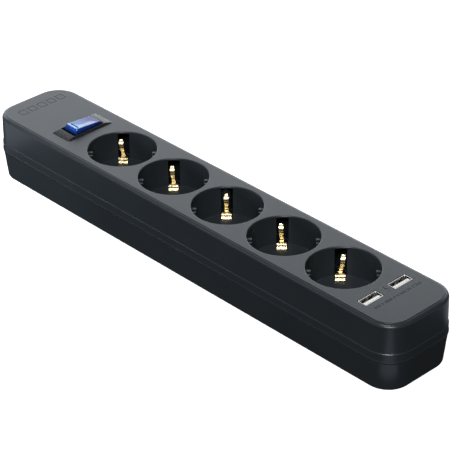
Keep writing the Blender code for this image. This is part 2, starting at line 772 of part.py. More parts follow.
def make_rocker():
    levels = [
        (ROCKER_SKIRT_Z, ROCKER_BASE[0], ROCKER_BASE[1], 1.2 * MM),
        (ROCKER_FOOT_Z, ROCKER_BASE[0], ROCKER_BASE[1], 1.2 * MM),
        (ROCKER_TOP_Z - 0.45 * MM, ROCKER_TOP[0] + 0.5 * MM, ROCKER_TOP[1] + 0.5 * MM, 1.2 * MM),
        (ROCKER_TOP_Z, ROCKER_TOP[0] - 0.4 * MM, ROCKER_TOP[1] - 0.4 * MM, 1.0 * MM),
    ]
    rocker = loft("rocker", levels, 3, colour="blue")
    half_width = ROCKER_BASE[0] / 2
    dish_radius = (ROCKER_TOP[1] / 2) ** 2 / (2 * ROCKER_DISH)
    dish_place = (0, ROCKER_TOP_Z - ROCKER_DISH + dish_radius)
    dish = cylinder("rocker_dish", dish_radius, -2 * half_width, 2 * half_width, dish_place, 160, axis="X")
    hollow_high = ROCKER_TOP_Z - ROCKER_DISH - ROCKER_WALL
    hollow_low = ROCKER_SKIRT_Z - 4 * MM
    hollow_size = (ROCKER_TOP[0] - 0.6 * MM, ROCKER_TOP[1] - 1.8 * MM, hollow_high - hollow_low)
    hollow = box("rocker_hollow", hollow_size, (0, 0, (hollow_high + hollow_low) / 2))
    cut(rocker, dish, hollow)
    hang(rocker, dish, hollow)
    cheek_outer = half_width - 0.05 * MM
    cheek_inner = hollow_size[0] / 2 + 0.05 * MM
    for side in (1, -1):
        cheek = box(
            f"rocker_cheek_{side}",
            (cheek_outer - cheek_inner, 6 * MM, 4.2 * MM),
            (side * (cheek_outer + cheek_inner) / 2, 0, -0.1 * MM),
        )
        ends = sorted((side * (cheek_inner + 0.3 * MM), side * (half_width + 0.85 * MM)))
        pin = cylinder(f"rocker_pin_{side}", PIVOT_RADIUS, ends[0], ends[1], (0, 0), 12, axis="X")
        guide_place = (side * POLE_X, 0)
        guide = cylinder(f"plunger_guide_{side}", 1.9 * MM, 0.2 * MM, hollow_high + 0.4 * MM, guide_place, 12)
        bore_high = hollow_high - 0.2 * MM
        bore = cylinder(f"guide_bore_{side}", PLUNGER_RADIUS + GAP, -1 * MM, bore_high, guide_place, 12)
        join(rocker, cheek, pin, guide)
        cut(rocker, bore)
        hang(cheek, pin, guide, bore)


def make_plungers():
    profile = [
        (0, PLUNGER_TOP_Z),
        (PLUNGER_RADIUS, PLUNGER_TOP_Z),
        (PLUNGER_RADIUS, PLUNGER_TIP_Z + 0.9 * MM),
        (0.3 * MM, PLUNGER_TIP_Z),
        (0, PLUNGER_TIP_Z),
    ]
    for side, pole in ((-1, "line"), (1, "neutral")):
        plunger = turned(f"{pole}_plunger", profile, 12, "brass")
        hang(move(plunger, (side * POLE_X, 0, 0)))
        make_plunger_spring(pole, side * POLE_X)


def make_plunger_spring(pole, x):
    turns = 5
    steps_a_turn = 8
    wire_radius = 0.2 * MM
    coil_radius = 0.7 * MM
    low = PLUNGER_TOP_Z + GAP + wire_radius
    high = ROCKER_TOP_Z - ROCKER_DISH - ROCKER_WALL - 0.2 * MM - GAP - wire_radius
    curve = bpy.data.curves.new(f"{pole}_plunger_spring", "CURVE")
    curve.dimensions = "3D"
    curve.bevel_depth = wire_radius
    curve.bevel_resolution = 0
    curve.use_fill_caps = True
    spline = curve.splines.new("POLY")
    count = turns * steps_a_turn
    spline.points.add(count)
    for step, point in enumerate(spline.points):
        angle = 2 * math.pi * step / steps_a_turn
        height = low + (high - low) * step / count
        point.co = (coil_radius * math.cos(angle), coil_radius * math.sin(angle), height, 1)
    spring = bpy.data.objects.new(curve.name, curve)
    curve.materials.append(material("steel"))
    PARTS.objects.link(spring)
    hang(move(spring, (x, 0, 0)))


def make_lamp():
    half = 3.3 * MM
    radius = 1.6 * MM
    profile = [(0, half), (0.8 * MM, half - 0.3 * MM), (radius, half - 1.2 * MM), (radius, -half), (0, -half)]
    lamp = turned("indicator_lamp", profile, 12, "lamp")
    hang(move(lamp, (0, 5.4 * MM, 5.0 * MM), (0, math.pi / 2, 0)))


def make_levers():
    rise = LEVER_ARM * math.tan(LEVER_RISE)
    path = [(-LEVER_ARM, rise), (0, 0), (LEVER_ARM, rise)]
    for side, pole in ((-1, "line"), (1, "neutral")):
        axis = axis_empty(f"{pole}_lever_axis", (SWITCH_X + side * POLE_X, 0, LEVER_PIVOT_Z), LEVER_TILT)
        lever = strip(f"{pole}_contact_lever", path, LEVER_WIDTH, LEVER_THICKNESS, "brass")
        lever.rotation_euler = (0, 0, math.pi / 2)
        lever.parent = axis


# USB sockets and charger board


def make_usb(tag, side):
    length, width, height = USB_SHELL
    low = BOARD_TOP + GAP
    middle = low + height / 2
    y = side * USB_Y
    shell = box(f"usb_shell_{tag}", USB_SHELL, (USB_X, y, middle), "steel")
    floor = 1.0 * MM
    size = (length - 2 * USB_WALL, width - 2 * USB_WALL, height)
    cut(shell, box(f"usb_mouth_{tag}", size, (USB_X, y, middle + floor)))
    block_height = 2.4 * MM
    block_low = low + floor + GAP
    block_size = (size[0] - 2 * GAP, size[1] - 2 * GAP, block_height)
    tongue = box(f"usb_tongue_{tag}", block_size, (USB_X, y, block_low + block_height / 2), "white")
    blade_high = low + height - 0.9 * MM
    blade_size = (1.85 * MM, 11.0 * MM, blade_high - block_low)
    blade_x = USB_X + length / 2 - USB_WALL - 0.7 * MM - blade_size[0] / 2
    join(tongue, box(f"usb_blade_{tag}", blade_size, (blade_x, y, (blade_high + block_low) / 2 + 0.1 * MM)))


def make_charger_board():
    """The board hangs its components from its underside, and carries the USB sockets on top."""
    middle = BOARD_TOP - BOARD_THICKNESS / 2
    box("charger_board", (BOARD_LENGTH, BOARD_WIDTH, BOARD_THICKNESS), (BOARD_X, 0, middle), "board")
    under = BOARD_TOP - BOARD_THICKNESS - GAP
    transformer_height = 9 * MM
    core = box(
        "transformer", (13 * MM, 8 * MM, transformer_height), (BOARD_X, 0, under - transformer_height / 2), "black"
    )
    join(core, box("transformer_coil", (9 * MM, 12 * MM, 6 * MM), (BOARD_X, 0, under - transformer_height / 2)))
    cylinder("input_capacitor", 4 * MM, under - 12 * MM, under, (BOARD_X + 3 * MM, 12 * MM), 16, "black")
    cylinder("output_capacitor", 3 * MM, under - 9 * MM, under, (BOARD_X + 4 * MM, -12 * MM), 16, "black")
    fuse = cylinder(
        "board_fuse", 1.6 * MM, -4 * MM, 4 * MM, (BOARD_X - 6 * MM, under - 1.7 * MM), 12, "brown", axis="Y"
    )
    fuse.location.y = -11 * MM


# Cord entry, clamp, screws and wires


def make_cord_gland():
    """A flanged bush in the end wall, turned about the cord's line."""
    outer_end = LENGTH / 2 - 0.3 * MM
    inner_end = LENGTH / 2 - 7 * MM
    flange_out = LENGTH / 2 - 4.6 * MM
    flange_in = flange_out - 1.5 * MM
    flange_radius = GLAND_RADIUS + 1.2 * MM
    profile = [
        (GLAND_BORE, outer_end),
        (GLAND_RADIUS, outer_end),
        (GLAND_RADIUS, flange_out),
        (flange_radius, flange_out),
        (flange_radius, flange_in),
        (GLAND_RADIUS - 0.6 * MM, flange_in),
        (GLAND_RADIUS - 0.6 * MM, inner_end),
        (GLAND_BORE, inner_end),
        (GLAND_BORE, outer_end),
    ]
    gland = turned("cord_gland", profile, 20, "black")
    move(gland, (0, 0, CORD_Z), (0, -math.pi / 2, 0))


def make_cord_clamp():
    low = 9 * MM + GAP
    height = 4.4 * MM
    clamp = box("cord_clamp", (6 * MM, 23 * MM, height), (CLAMP_X, 0, low + height / 2), "white")
    arch = cylinder("clamp_arch", GLAND_BORE - 0.3 * MM, -5 * MM, 5 * MM, (0, CORD_Z), 16, axis="X")
    cut(clamp, move(arch, (CLAMP_X, 0, 0)))
    for number, side in enumerate((1, -1)):
        place = (CLAMP_X, side * CLAMP_SCREW_Y)
        cut(clamp, cylinder(f"clamp_screw_hole_{side}", SCREW_SHANK_RADIUS + GAP, 8 * MM, 15 * MM, place, 10))
        made = screw(f"clamp_screw_{number + 1}", 8 * MM)
        move(made, (place[0], place[1], low + height + GAP), (math.pi, 0, 0))


def screw(name, length):
    """A pan-head screw with a cross recess: head down from Z = 0, shank up."""
    profile = [
        (0, length),
        (0.5 * MM, length),
        (SCREW_SHANK_RADIUS, length - 1.6 * MM),
        (SCREW_SHANK_RADIUS, 0),
        (SCREW_HEAD_RADIUS, 0),
        (SCREW_HEAD_RADIUS, -0.6 * SCREW_HEAD_HEIGHT),
        (0.7 * SCREW_HEAD_RADIUS, -SCREW_HEAD_HEIGHT),
        (0, -SCREW_HEAD_HEIGHT),
    ]
    blank = turned(name + "_blank", profile, 12)
    blade_size = (0.7 * MM, 2.8 * MM, 2 * MM)
    blades = [box(name + "_blade", blade_size, (0, 0, -SCREW_HEAD_HEIGHT))]
    blades.append(box(name + "_cross", (blade_size[1], blade_size[0], blade_size[2]), (0, 0, -SCREW_HEAD_HEIGHT)))
    cut(blank, *blades)
    mesh = baked(blank, name)
    for helper in [blank, *blades]:
        bpy.data.objects.remove(helper)
    return add_object(name, mesh, "steel")


def make_housing_screws():
    for number, (x, y) in enumerate(SCREW_PLACES):
        made = screw(f"housing_screw_{number + 1}", SCREW_LENGTH)
        move(made, (x, y, COUNTERBORE_DEPTH - GAP))


def make_wires():
    for name, (colour, route) in WIRES.items():
        wire(name, route, WIRE_RADIUS, colour)


for old in list(bpy.data.objects):
    bpy.data.objects.remove(old)

PARTS = collection("power_strip")
CUTTERS = collection("cutters")
ROCKER_AXIS = axis_empty("rocker_axis", (SWITCH_X, 0, HINGE_Z), -ROCKER_TILT)

make_top_cover()
make_base()
make_earth_clips()
make_mains_bar("line_busbar", 1)
make_mains_bar("neutral_busbar", -1)
make_earth_bar()
make_switch_housing()
make_terminals()
make_rocker()
make_plungers()
make_lamp()
make_levers()
make_usb("far", 1)
make_usb("near", -1)
make_charger_board()
make_cord_gland()
make_cord_clamp()
make_housing_screws()
make_wires()
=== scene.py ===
"""Looks for the power strip: fine shells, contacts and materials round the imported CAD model."""

import math

import bmesh
import bpy
from mathutils import Matrix, Vector


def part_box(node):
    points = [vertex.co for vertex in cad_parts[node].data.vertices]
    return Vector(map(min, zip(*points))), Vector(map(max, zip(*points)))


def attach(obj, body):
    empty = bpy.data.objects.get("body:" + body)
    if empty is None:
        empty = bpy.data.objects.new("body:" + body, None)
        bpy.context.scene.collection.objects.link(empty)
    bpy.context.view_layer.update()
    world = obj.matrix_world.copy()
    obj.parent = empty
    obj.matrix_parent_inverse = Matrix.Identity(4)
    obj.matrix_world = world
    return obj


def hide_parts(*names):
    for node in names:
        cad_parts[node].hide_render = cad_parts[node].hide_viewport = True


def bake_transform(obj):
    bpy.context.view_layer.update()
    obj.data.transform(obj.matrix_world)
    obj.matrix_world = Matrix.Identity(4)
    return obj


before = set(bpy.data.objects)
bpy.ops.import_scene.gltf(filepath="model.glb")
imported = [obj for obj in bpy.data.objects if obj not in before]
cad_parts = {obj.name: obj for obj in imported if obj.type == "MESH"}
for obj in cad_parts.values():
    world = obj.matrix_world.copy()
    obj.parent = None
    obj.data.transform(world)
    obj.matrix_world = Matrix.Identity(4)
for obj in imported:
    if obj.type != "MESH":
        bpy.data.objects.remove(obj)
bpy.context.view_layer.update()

MM = 0.001

# Sizes and turns that the fine shells share with the CAD solids, in millimetres and radians
LENGTH, WIDTH, HEIGHT = 315.0, 53.0, 40.0
CORNER_RADIUS = 15.3
WALL = 2.2
SEAM_Z = 17.3
PITCH = 42.8
ROW_X = 14.5
SOCKETS = [ROW_X + (number - 2) * PITCH for number in range(5)]
RECESS_RADIUS = 19.5
FLOOR_Z = 22.5
RIB_TURN = math.radians(45)
RIB_INNER, RIB_HALF, RIB_TOP = 16.75, 2.7, 36.8
CLIP_TURN = math.radians(135)
SLOT_TURN = math.radians(137.2)
PIN_OFFSET = 9.5
SWITCH_X = -105.8
HINGE_Z = 33.0
ROCKER_TILT = math.radians(-5)
PLUNGER_X = 2.9
SPRING_LOW, SPRING_HIGH = 2.5, 7.85
USB_X = 129.0
USB_Y = 10.8
CORD_Z = 9.5
KEYHOLE_X = 120.0
SCREWS = [(-128, 18.8), (-128, -18.8), (-6.9, 18.8), (-6.9, -18.8), (147, 13), (147, -13)]

# Half widths of an earth clip by the distance along its centre line, and how far each finger leans
CLIP_WIDTHS = [
    (15.3, 1.5),
    (16.2, 2.75),
    (20.6, 2.75),
    (21.2, 2.6),
    (22.2, 1.2),
    (26.0, 0.95),
    (29.0, 1.25),
]
CLIP_LEANS = [-1.1, -0.75, -0.1, -0.55, 1.55]

# Marks in the cover: lengths of the dashes, and the depths of the cuts
DASHES = (4.2, 1.3, 5.0, 1.6, 1.2, 4.4, 2.6, 1.4, 4.2)
DASH_DEPTH, FRAME_DEPTH = 0.18, 0.14

# Light with a faint blue cast, for the panels that the sides and the top mirror
COOL = (0.94, 0.99, 1.04)


# Mesh helpers. Everything is modelled in millimetres and scaled to metres at the end.

# Vertices closer than this, in millimetres, become one
WELD = 0.002


def object_from(bm, name):
    """Turns a bmesh into an object of the scene, with its faces pointing outwards."""
    bmesh.ops.recalc_face_normals(bm, faces=bm.faces)
    mesh = bpy.data.meshes.new(name)
    bm.to_mesh(mesh)
    bm.free()
    made = bpy.data.objects.new(name, mesh)
    bpy.context.scene.collection.objects.link(made)
    return made


def ring_points(length, width, radius, steps):
    """A rectangle with round corners, anticlockwise."""
    points = []
    for corner in range(4):
        centre_x = (1 if corner in (0, 3) else -1) * (length / 2 - radius)
        centre_y = (1 if corner in (0, 1) else -1) * (width / 2 - radius)
        for step in range(steps + 1):
            angle = math.pi / 2 * (corner + step / steps)
            x, y = centre_x + radius * math.cos(angle), centre_y + radius * math.sin(angle)
            points.append((x, y))
    return points


def skin(bm, rings, closed=True):
    """Quads between rings of vertices that match one to one, capped at both ends."""
    for lower, upper in zip(rings, rings[1:]):
        for i in range(len(lower)):
            j = (i + 1) % len(lower)
            bm.faces.new((lower[i], lower[j], upper[j], upper[i]))
    if closed:
        bm.faces.new(reversed(rings[0]))
        bm.faces.new(rings[-1])


def loft(name, levels, steps, centre=(0, 0)):
    """A round-cornered block through levels of (height, length, width, corner radius)."""
    bm = bmesh.new()
    rings = []
    for z, length, width, radius in levels:
        points = ring_points(length, width, radius, steps)
        rings.append([bm.verts.new((x + centre[0], y + centre[1], z)) for x, y in points])
    skin(bm, rings)
    return object_from(bm, name)


def body_levels(levels):
    """Loft levels of the strip's plan, from (height, inset) pairs."""
    return [(z, LENGTH - 2 * i, WIDTH - 2 * i, CORNER_RADIUS - i) for z, i in levels]


def add_box(bm, size, centre, turn=0.0, pivot=(0, 0, 0)):
    """A box, turned about the vertical through pivot after it is placed. Returns its vertices."""
    made = bmesh.ops.create_cube(bm, size=1)["verts"]
    bmesh.ops.scale(bm, vec=size, verts=made)
    bmesh.ops.translate(bm, vec=centre, verts=made)
    if turn:
        bmesh.ops.rotate(bm, cent=pivot, matrix=Matrix.Rotation(turn, 3, "Z"), verts=made)
    return made


def add_turned(bm, profile, steps, centre):
    """A closed solid turned about the vertical, from (radius, height) pairs that start and end on
    the axis. Returns its vertices."""
    centre_x, centre_y = centre
    top = bm.verts.new((centre_x, centre_y, profile[0][1]))
    bottom = bm.verts.new((centre_x, centre_y, profile[-1][1]))
    rings = []
    for radius, z in profile[1:-1]:
        ring = []
        for step in range(steps):
            angle = 2 * math.pi * step / steps
            x, y = centre_x + radius * math.cos(angle), centre_y + radius * math.sin(angle)
            ring.append(bm.verts.new((x, y, z)))
        rings.append(ring)
    skin(bm, rings, closed=False)
    for i in range(steps):
        j = (i + 1) % steps
        bm.faces.new((top, rings[0][i], rings[0][j]))
        bm.faces.new((bottom, rings[-1][j], rings[-1][i]))
    return [top, bottom, *(vertex for ring in rings for vertex in ring)]


def add_cylinder(bm, radius, low, high, centre, steps=24):
    """An upright cylinder. Returns its vertices."""
    return add_turned(bm, [(0, high), (radius, high), (radius, low), (0, low)], steps, centre)


def lay_along_x(bm, vertices, turn=math.pi / 2):
    """Turns upright vertices about Y through the origin, so that their axis lies along X."""
    bmesh.ops.rotate(bm, cent=(0, 0, 0), matrix=Matrix.Rotation(turn, 3, "Y"), verts=vertices)


def add_prism(bm, points, low, high):
    """An upright prism over a plan outline."""
    rings = [[bm.verts.new((x, y, z)) for x, y in points] for z in (low, high)]
    skin(bm, rings)


def boolean(target, other, operation, crossing=False):
    """An exact boolean. With crossing, the other mesh may hold solids that overlap one another."""
    modifier = target.modifiers.new("boolean", "BOOLEAN")
    modifier.operation = operation
    modifier.solver = "EXACT"
    modifier.use_self = crossing
    modifier.object = other


def settle(target):
    """Applies the modifiers, removes the cutters, and scales the piece to metres."""
    cutters = [m.object for m in target.modifiers if m.type == "BOOLEAN"]
    bpy.context.view_layer.update()
    graph = bpy.context.evaluated_depsgraph_get()
    mesh = bpy.data.meshes.new_from_object(target.evaluated_get(graph))
    target.modifiers.clear()
    old = target.data
    target.data = mesh
    bpy.data.meshes.remove(old)
    for cutter in cutters:
        data = cutter.data
        bpy.data.objects.remove(cutter)
        bpy.data.meshes.remove(data)
    bm = bmesh.new()
    bm.from_mesh(mesh)
    bmesh.ops.remove_doubles(bm, verts=bm.verts, dist=WELD)
    bmesh.ops.dissolve_degenerate(bm, edges=bm.edges, dist=WELD)
    bm.to_mesh(mesh)
    bm.free()
    mesh.transform(Matrix.Scale(MM, 4))
    mesh.name = target.name


def smooth(target, angle=32):
    """Smooth shading with sharp edges, and flat faces that keep their own normals."""
    target.data.shade_smooth()
    target.data.set_sharp_from_angle(angle=math.radians(angle))
    modifier = target.modifiers.new("weighted", "WEIGHTED_NORMAL")
    modifier.keep_sharp = True
    modifier.weight = 90


def paint(target, surface):
    target.data.materials.clear()
    target.data.materials.append(surface)


def finish_piece(target, body, slot, surface, *nodes):
    """Paints a piece, puts it on its body, and hides the CAD nodes it stands for; the slot is not
    used.
    """
    paint(target, surface)
    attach(target, body)
    if nodes:
        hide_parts(*nodes)


# Materials


class Nodes:
    """Short names for building a node tree."""

    def __init__(self, name):
        self.material = bpy.data.materials.new(name)
        self.material.use_nodes = True
        self.tree = self.material.node_tree
        self.shader = self.tree.nodes["Principled BSDF"]
        self.coordinates = self.add("ShaderNodeTexCoord").outputs["Object"]

    def add(self, kind, **settings):
        node = self.tree.nodes.new(kind)
        for key, value in settings.items():
            setattr(node, key, value)
        return node

    def link(self, source, target):
        self.tree.links.new(source, target)

    def set(self, **values):
        for key, value in values.items():
            self.shader.inputs[key.replace("_", " ")].default_value = value

    def noise(self, scale, detail=3.0, roughness=0.5, stretch=None):
        node = self.add("ShaderNodeTexNoise")
        node.inputs["Scale"].default_value = scale
        node.inputs["Detail"].default_value = detail
        node.inputs["Roughness"].default_value = roughness
        source = self.coordinates
        if stretch is not None:
            mapping = self.add("ShaderNodeMapping")
            mapping.inputs["Scale"].default_value = stretch
            self.link(source, mapping.inputs["Vector"])
            source = mapping.outputs["Vector"]
        self.link(source, node.inputs["Vector"])
        return node.outputs["Fac"]

    def spread(self, source, low, high, from_low=0.3, from_high=0.7):
        """The source's middle range stretched to run from low to high."""
        node = self.add("ShaderNodeMapRange", interpolation_type="SMOOTHSTEP")
        node.inputs["From Min"].default_value = from_low
        node.inputs["From Max"].default_value = from_high
        node.inputs["To Min"].default_value = low
        node.inputs["To Max"].default_value = high
        self.link(source, node.inputs["Value"])
        return node.outputs["Result"]

    def feed(self, value, socket):
        """Links an output to the socket, or sets the socket to a number or a colour."""
        if isinstance(value, bpy.types.NodeSocket):
            self.link(value, socket)
        elif isinstance(value, tuple):
            socket.default_value = (*value, 1)
        else:
            socket.default_value = value

    def mix(self, factor, first, second):
        node = self.add("ShaderNodeMix", data_type="RGBA")
        colours = [socket for socket in node.inputs if socket.type == "RGBA"]
        self.feed(factor, node.inputs["Factor"])
        self.feed(first, colours[0])
        self.feed(second, colours[1])
        return [socket for socket in node.outputs if socket.type == "RGBA"][0]

    def maths(self, operation, *values):
        node = self.add("ShaderNodeMath", operation=operation)
        for value, socket in zip(values, node.inputs):
            self.feed(value, socket)
        return node.outputs[0]

    def axes(self, source):
        """The X, Y and Z of a vector, as outputs that go by those names."""
        node = self.add("ShaderNodeSeparateXYZ")
        self.link(source, node.inputs["Vector"])
        return node.outputs

    def bump(self, height, distance, strength, under=None):
        node = self.add("ShaderNodeBump")
        node.inputs["Distance"].default_value = distance
        node.inputs["Strength"].default_value = strength
        self.link(height, node.inputs["Height"])
        if under is not None:
            self.link(under, node.inputs["Normal"])
        return node.outputs["Normal"]


def edge_mask(nodes, radius):
    """Near 1 on the piece's outer edges and 0 on its flats."""
    bevel = nodes.add("ShaderNodeBevel", samples=4)
    bevel.inputs["Radius"].default_value = radius
    geometry = nodes.add("ShaderNodeNewGeometry")
    dot = nodes.add("ShaderNodeVectorMath", operation="DOT_PRODUCT")
    nodes.link(bevel.outputs["Normal"], dot.inputs[0])
    nodes.link(geometry.outputs["Normal"], dot.inputs[1])
    return nodes.spread(dot.outputs["Value"], 1.0, 0.0, 0.80, 0.995)


def moulded_plastic(name, colour, worn, roughness, grain=0.00003):
    """Moulded plastic: spark-eroded grain, slow tone drift, faint scuffs and lighter rubbed edges.

    The roughness has a narrow range, because a wider one draws contour lines in the reflections.
    """
    nodes = Nodes(name)
    drift = nodes.spread(nodes.noise(22, 2.0), 0.0, 1.0, 0.1, 0.9)
    darker = tuple(0.88 * c for c in colour)
    lighter = tuple(1.12 * c for c in colour)
    tone = nodes.mix(drift, darker, lighter)
    patches = nodes.spread(nodes.noise(180, 4.0), 0.15, 0.75)
    rubbed = nodes.maths("MULTIPLY", edge_mask(nodes, 0.0004), patches)
    nodes.link(nodes.mix(rubbed, tone, worn), nodes.shader.inputs["Base Color"])
    scuffs = nodes.spread(nodes.noise(45, 2.0), roughness - 0.02, roughness + 0.05, 0.1, 0.9)
    nodes.link(scuffs, nodes.shader.inputs["Roughness"])
    waves = nodes.bump(nodes.noise(70, 1.0), 0.00010, 0.10)
    fine = nodes.bump(nodes.noise(2600, 2.0, 0.6), grain, 0.6, waves)
    nodes.link(fine, nodes.shader.inputs["Normal"])
    nodes.set(IOR=1.5)
    return nodes.material


def metal(name, colour, tarnish, roughness, folds=()):
    """Sheet metal with a brushed grain, tarnish in patches, and painted shade in dark bands at the
    folds.

    A fold is (lowest Z in metres, highest Z, strength of its painted shade).
    """
    nodes = Nodes(name)
    patches = nodes.spread(nodes.noise(140, 5.0, 0.6), 0.0, 0.35, 0.45, 0.75)
    tone = nodes.mix(patches, colour, tarnish)
    soft = 0.0002
    # Painted shade: each fold band darkens the brass towards dark brown
    for low, high, strength in folds:
        height = nodes.axes(nodes.coordinates)["Z"]
        rise = nodes.spread(height, 0.0, strength, low - soft, low + soft)
        fall = nodes.spread(height, 1.0, 0.0, high - soft, high + soft)
        tone = nodes.mix(nodes.maths("MULTIPLY", rise, fall), tone, (0.10, 0.065, 0.02))
    nodes.link(tone, nodes.shader.inputs["Base Color"])
    brushing = nodes.noise(900, 3.0, 0.6, (1, 14, 1))
    gloss = nodes.spread(brushing, roughness * 0.7, roughness * 1.5)
    nodes.link(gloss, nodes.shader.inputs["Roughness"])
    nodes.link(nodes.bump(brushing, 0.00001, 0.5), nodes.shader.inputs["Normal"])
    nodes.set(Metallic=1.0)
    return nodes.material


def translucent_blue():
    """Tinted clear plastic: deep blue, with painted shade that turns the sides black towards the
    foot, and a painted sheen on the faces that look up, light blue at the -Y end and darker towards
    +Y.
    """
    nodes = Nodes("translucent_blue")
    place = nodes.axes(nodes.coordinates)
    facing = nodes.axes(nodes.add("ShaderNodeNewGeometry").outputs["Normal"])
    # Painted sheen: faces that look up take the lighter top colour
    top = nodes.spread(facing["Z"], 0.0, 1.0, 0.80, 0.97)
    # Painted shade: the sides turn black towards the rocker's foot
    foot = nodes.spread(place["Z"], 0.0, 1.0, 0.0400, 0.0436)
    # Painted sheen on the top: light at the -Y end, fading towards +Y
    sheen_fade = nodes.spread(place["Y"], 0.0, 1.0, -0.009, 0.008)
    side = nodes.mix(foot, (0.001, 0.002, 0.010), (0.008, 0.055, 0.34))
    upper = nodes.mix(sheen_fade, (0.11, 0.34, 0.72), (0.03, 0.05, 0.32))
    tint_with_painted_light = nodes.mix(top, side, upper)
    swirl = nodes.spread(nodes.noise(160, 3.0), 0.75, 1.15)
    shade = nodes.add("ShaderNodeVectorMath", operation="SCALE")
    nodes.link(tint_with_painted_light, shade.inputs[0])
    nodes.link(swirl, shade.inputs["Scale"])
    nodes.link(shade.outputs[0], nodes.shader.inputs["Base Color"])
    nodes.link(nodes.spread(nodes.noise(500, 4.0), 0.08, 0.20), nodes.shader.inputs["Roughness"])
    nodes.link(nodes.bump(nodes.noise(320, 2.0), 0.00002, 0.4), nodes.shader.inputs["Normal"])
    nodes.set(IOR=1.52, Coat_Weight=0.5, Coat_Roughness=0.12)
    return nodes.material


def gridded_plastic():
    """Dark glossy frame of the switch, with a fine moulded grid, and painted shade in its grooves.
    """
    nodes = Nodes("gridded_plastic")
    place = nodes.axes(nodes.coordinates)
    pitch = 0.0011
    lines = []
    for axis in ("X", "Y"):
        wave = nodes.maths("SINE", nodes.maths("MULTIPLY", place[axis], 2 * math.pi / pitch))
        lines.append(nodes.spread(wave, 0.0, 1.0, 0.55, 0.95))
    grooves = nodes.maths("MAXIMUM", *lines)
    drift = nodes.spread(nodes.noise(90, 3.0), 0.0, 1.0)
    tone = nodes.mix(drift, (0.018, 0.018, 0.020), (0.030, 0.029, 0.031))
    # Painted shade: the grooves of the grid are darkened
    tone = nodes.mix(nodes.maths("MULTIPLY", grooves, 0.8), tone, (0.006, 0.006, 0.007))
    nodes.link(tone, nodes.shader.inputs["Base Color"])
    nodes.link(nodes.spread(nodes.noise(700, 3.0), 0.20, 0.34), nodes.shader.inputs["Roughness"])
    shine = nodes.spread(grooves, 0.55, 0.12, 0.0, 1.0)
    nodes.link(shine, nodes.shader.inputs["Specular IOR Level"])
    depth = nodes.maths("SUBTRACT", 1.0, grooves)
    nodes.link(nodes.bump(depth, 0.00002, 0.25), nodes.shader.inputs["Normal"])
    return nodes.material


def insulation(name, colour):
    """Wire insulation, with drawn-out streaks."""
    nodes = Nodes(name)
    streaks = nodes.spread(nodes.noise(260, 3.0, 0.5, (1, 8, 8)), 0.0, 1.0)
    darker = tuple(0.8 * c for c in colour)
    nodes.link(nodes.mix(streaks, darker, colour), nodes.shader.inputs["Base Color"])
    nodes.link(nodes.spread(nodes.noise(900, 2.0), 0.30, 0.45), nodes.shader.inputs["Roughness"])
    nodes.link(nodes.bump(nodes.noise(1200, 2.0), 0.00002, 0.5), nodes.shader.inputs["Normal"])
    return nodes.material


def circuit_board():
    """Green solder resist over copper tracks, which show as lighter lines in faint relief."""
    nodes = Nodes("circuit_board")
    cells = nodes.add("ShaderNodeTexVoronoi", feature="DISTANCE_TO_EDGE", distance="MANHATTAN")
    cells.inputs["Scale"].default_value = 420
    nodes.link(nodes.coordinates, cells.inputs["Vector"])
    tracks = nodes.spread(cells.outputs["Distance"], 1.0, 0.0, 0.04, 0.09)
    tone = nodes.mix(tracks, (0.012, 0.10, 0.045), (0.03, 0.19, 0.08))
    nodes.link(tone, nodes.shader.inputs["Base Color"])
    nodes.link(nodes.spread(nodes.noise(800, 2.0), 0.25, 0.40), nodes.shader.inputs["Roughness"])
    nodes.link(nodes.bump(tracks, 0.00003, 0.6), nodes.shader.inputs["Normal"])
    return nodes.material


CHARCOAL = moulded_plastic("charcoal_plastic", (0.024, 0.030, 0.035), (0.046, 0.055, 0.062), 0.30)
BLACK = moulded_plastic("black_plastic", (0.012, 0.012, 0.013), (0.04, 0.04, 0.04), 0.45)
WHITE = moulded_plastic("white_plastic", (0.90, 0.90, 0.88), (0.95, 0.95, 0.94), 0.30, 0.00001)
BLUE = translucent_blue()
GRID = gridded_plastic()
BRASS = metal("brass", (0.83, 0.68, 0.36), (0.46, 0.33, 0.12), 0.27)
CLIP_BRASS = metal(
    "clip_brass",
    (0.86, 0.72, 0.42),
    (0.46, 0.33, 0.12),
    0.27,
    # Painted shade at the foot's bend, over the plate, and at the bend above the plate
    folds=((0.0235, 0.0246, 0.75), (0.0253, 0.0300, 0.4), (0.0298, 0.0319, 0.75)),
)
STEEL = metal("steel", (0.74, 0.73, 0.70), (0.50, 0.48, 0.44), 0.18)
ZINC = metal("zinc", (0.62, 0.63, 0.66), (0.40, 0.40, 0.42), 0.28)
BOARD = circuit_board()
BROWN = insulation("brown_insulation", (0.16, 0.055, 0.022))
BLUE_WIRE = insulation("blue_insulation", (0.012, 0.07, 0.34))
GREEN_WIRE = insulation("green_insulation", (0.18, 0.36, 0.03))


# Housing


def arc(count, radius_in, radius_up, inset, z):
    """Levels of a rounded top edge, from its side tangent to its top tangent."""
    levels = []
    for step in range(1, count + 1):
        angle = math.pi / 2 * step / count
        levels.append((z + radius_up * math.sin(angle), inset + radius_in * (1 - math.cos(angle))))
    return levels


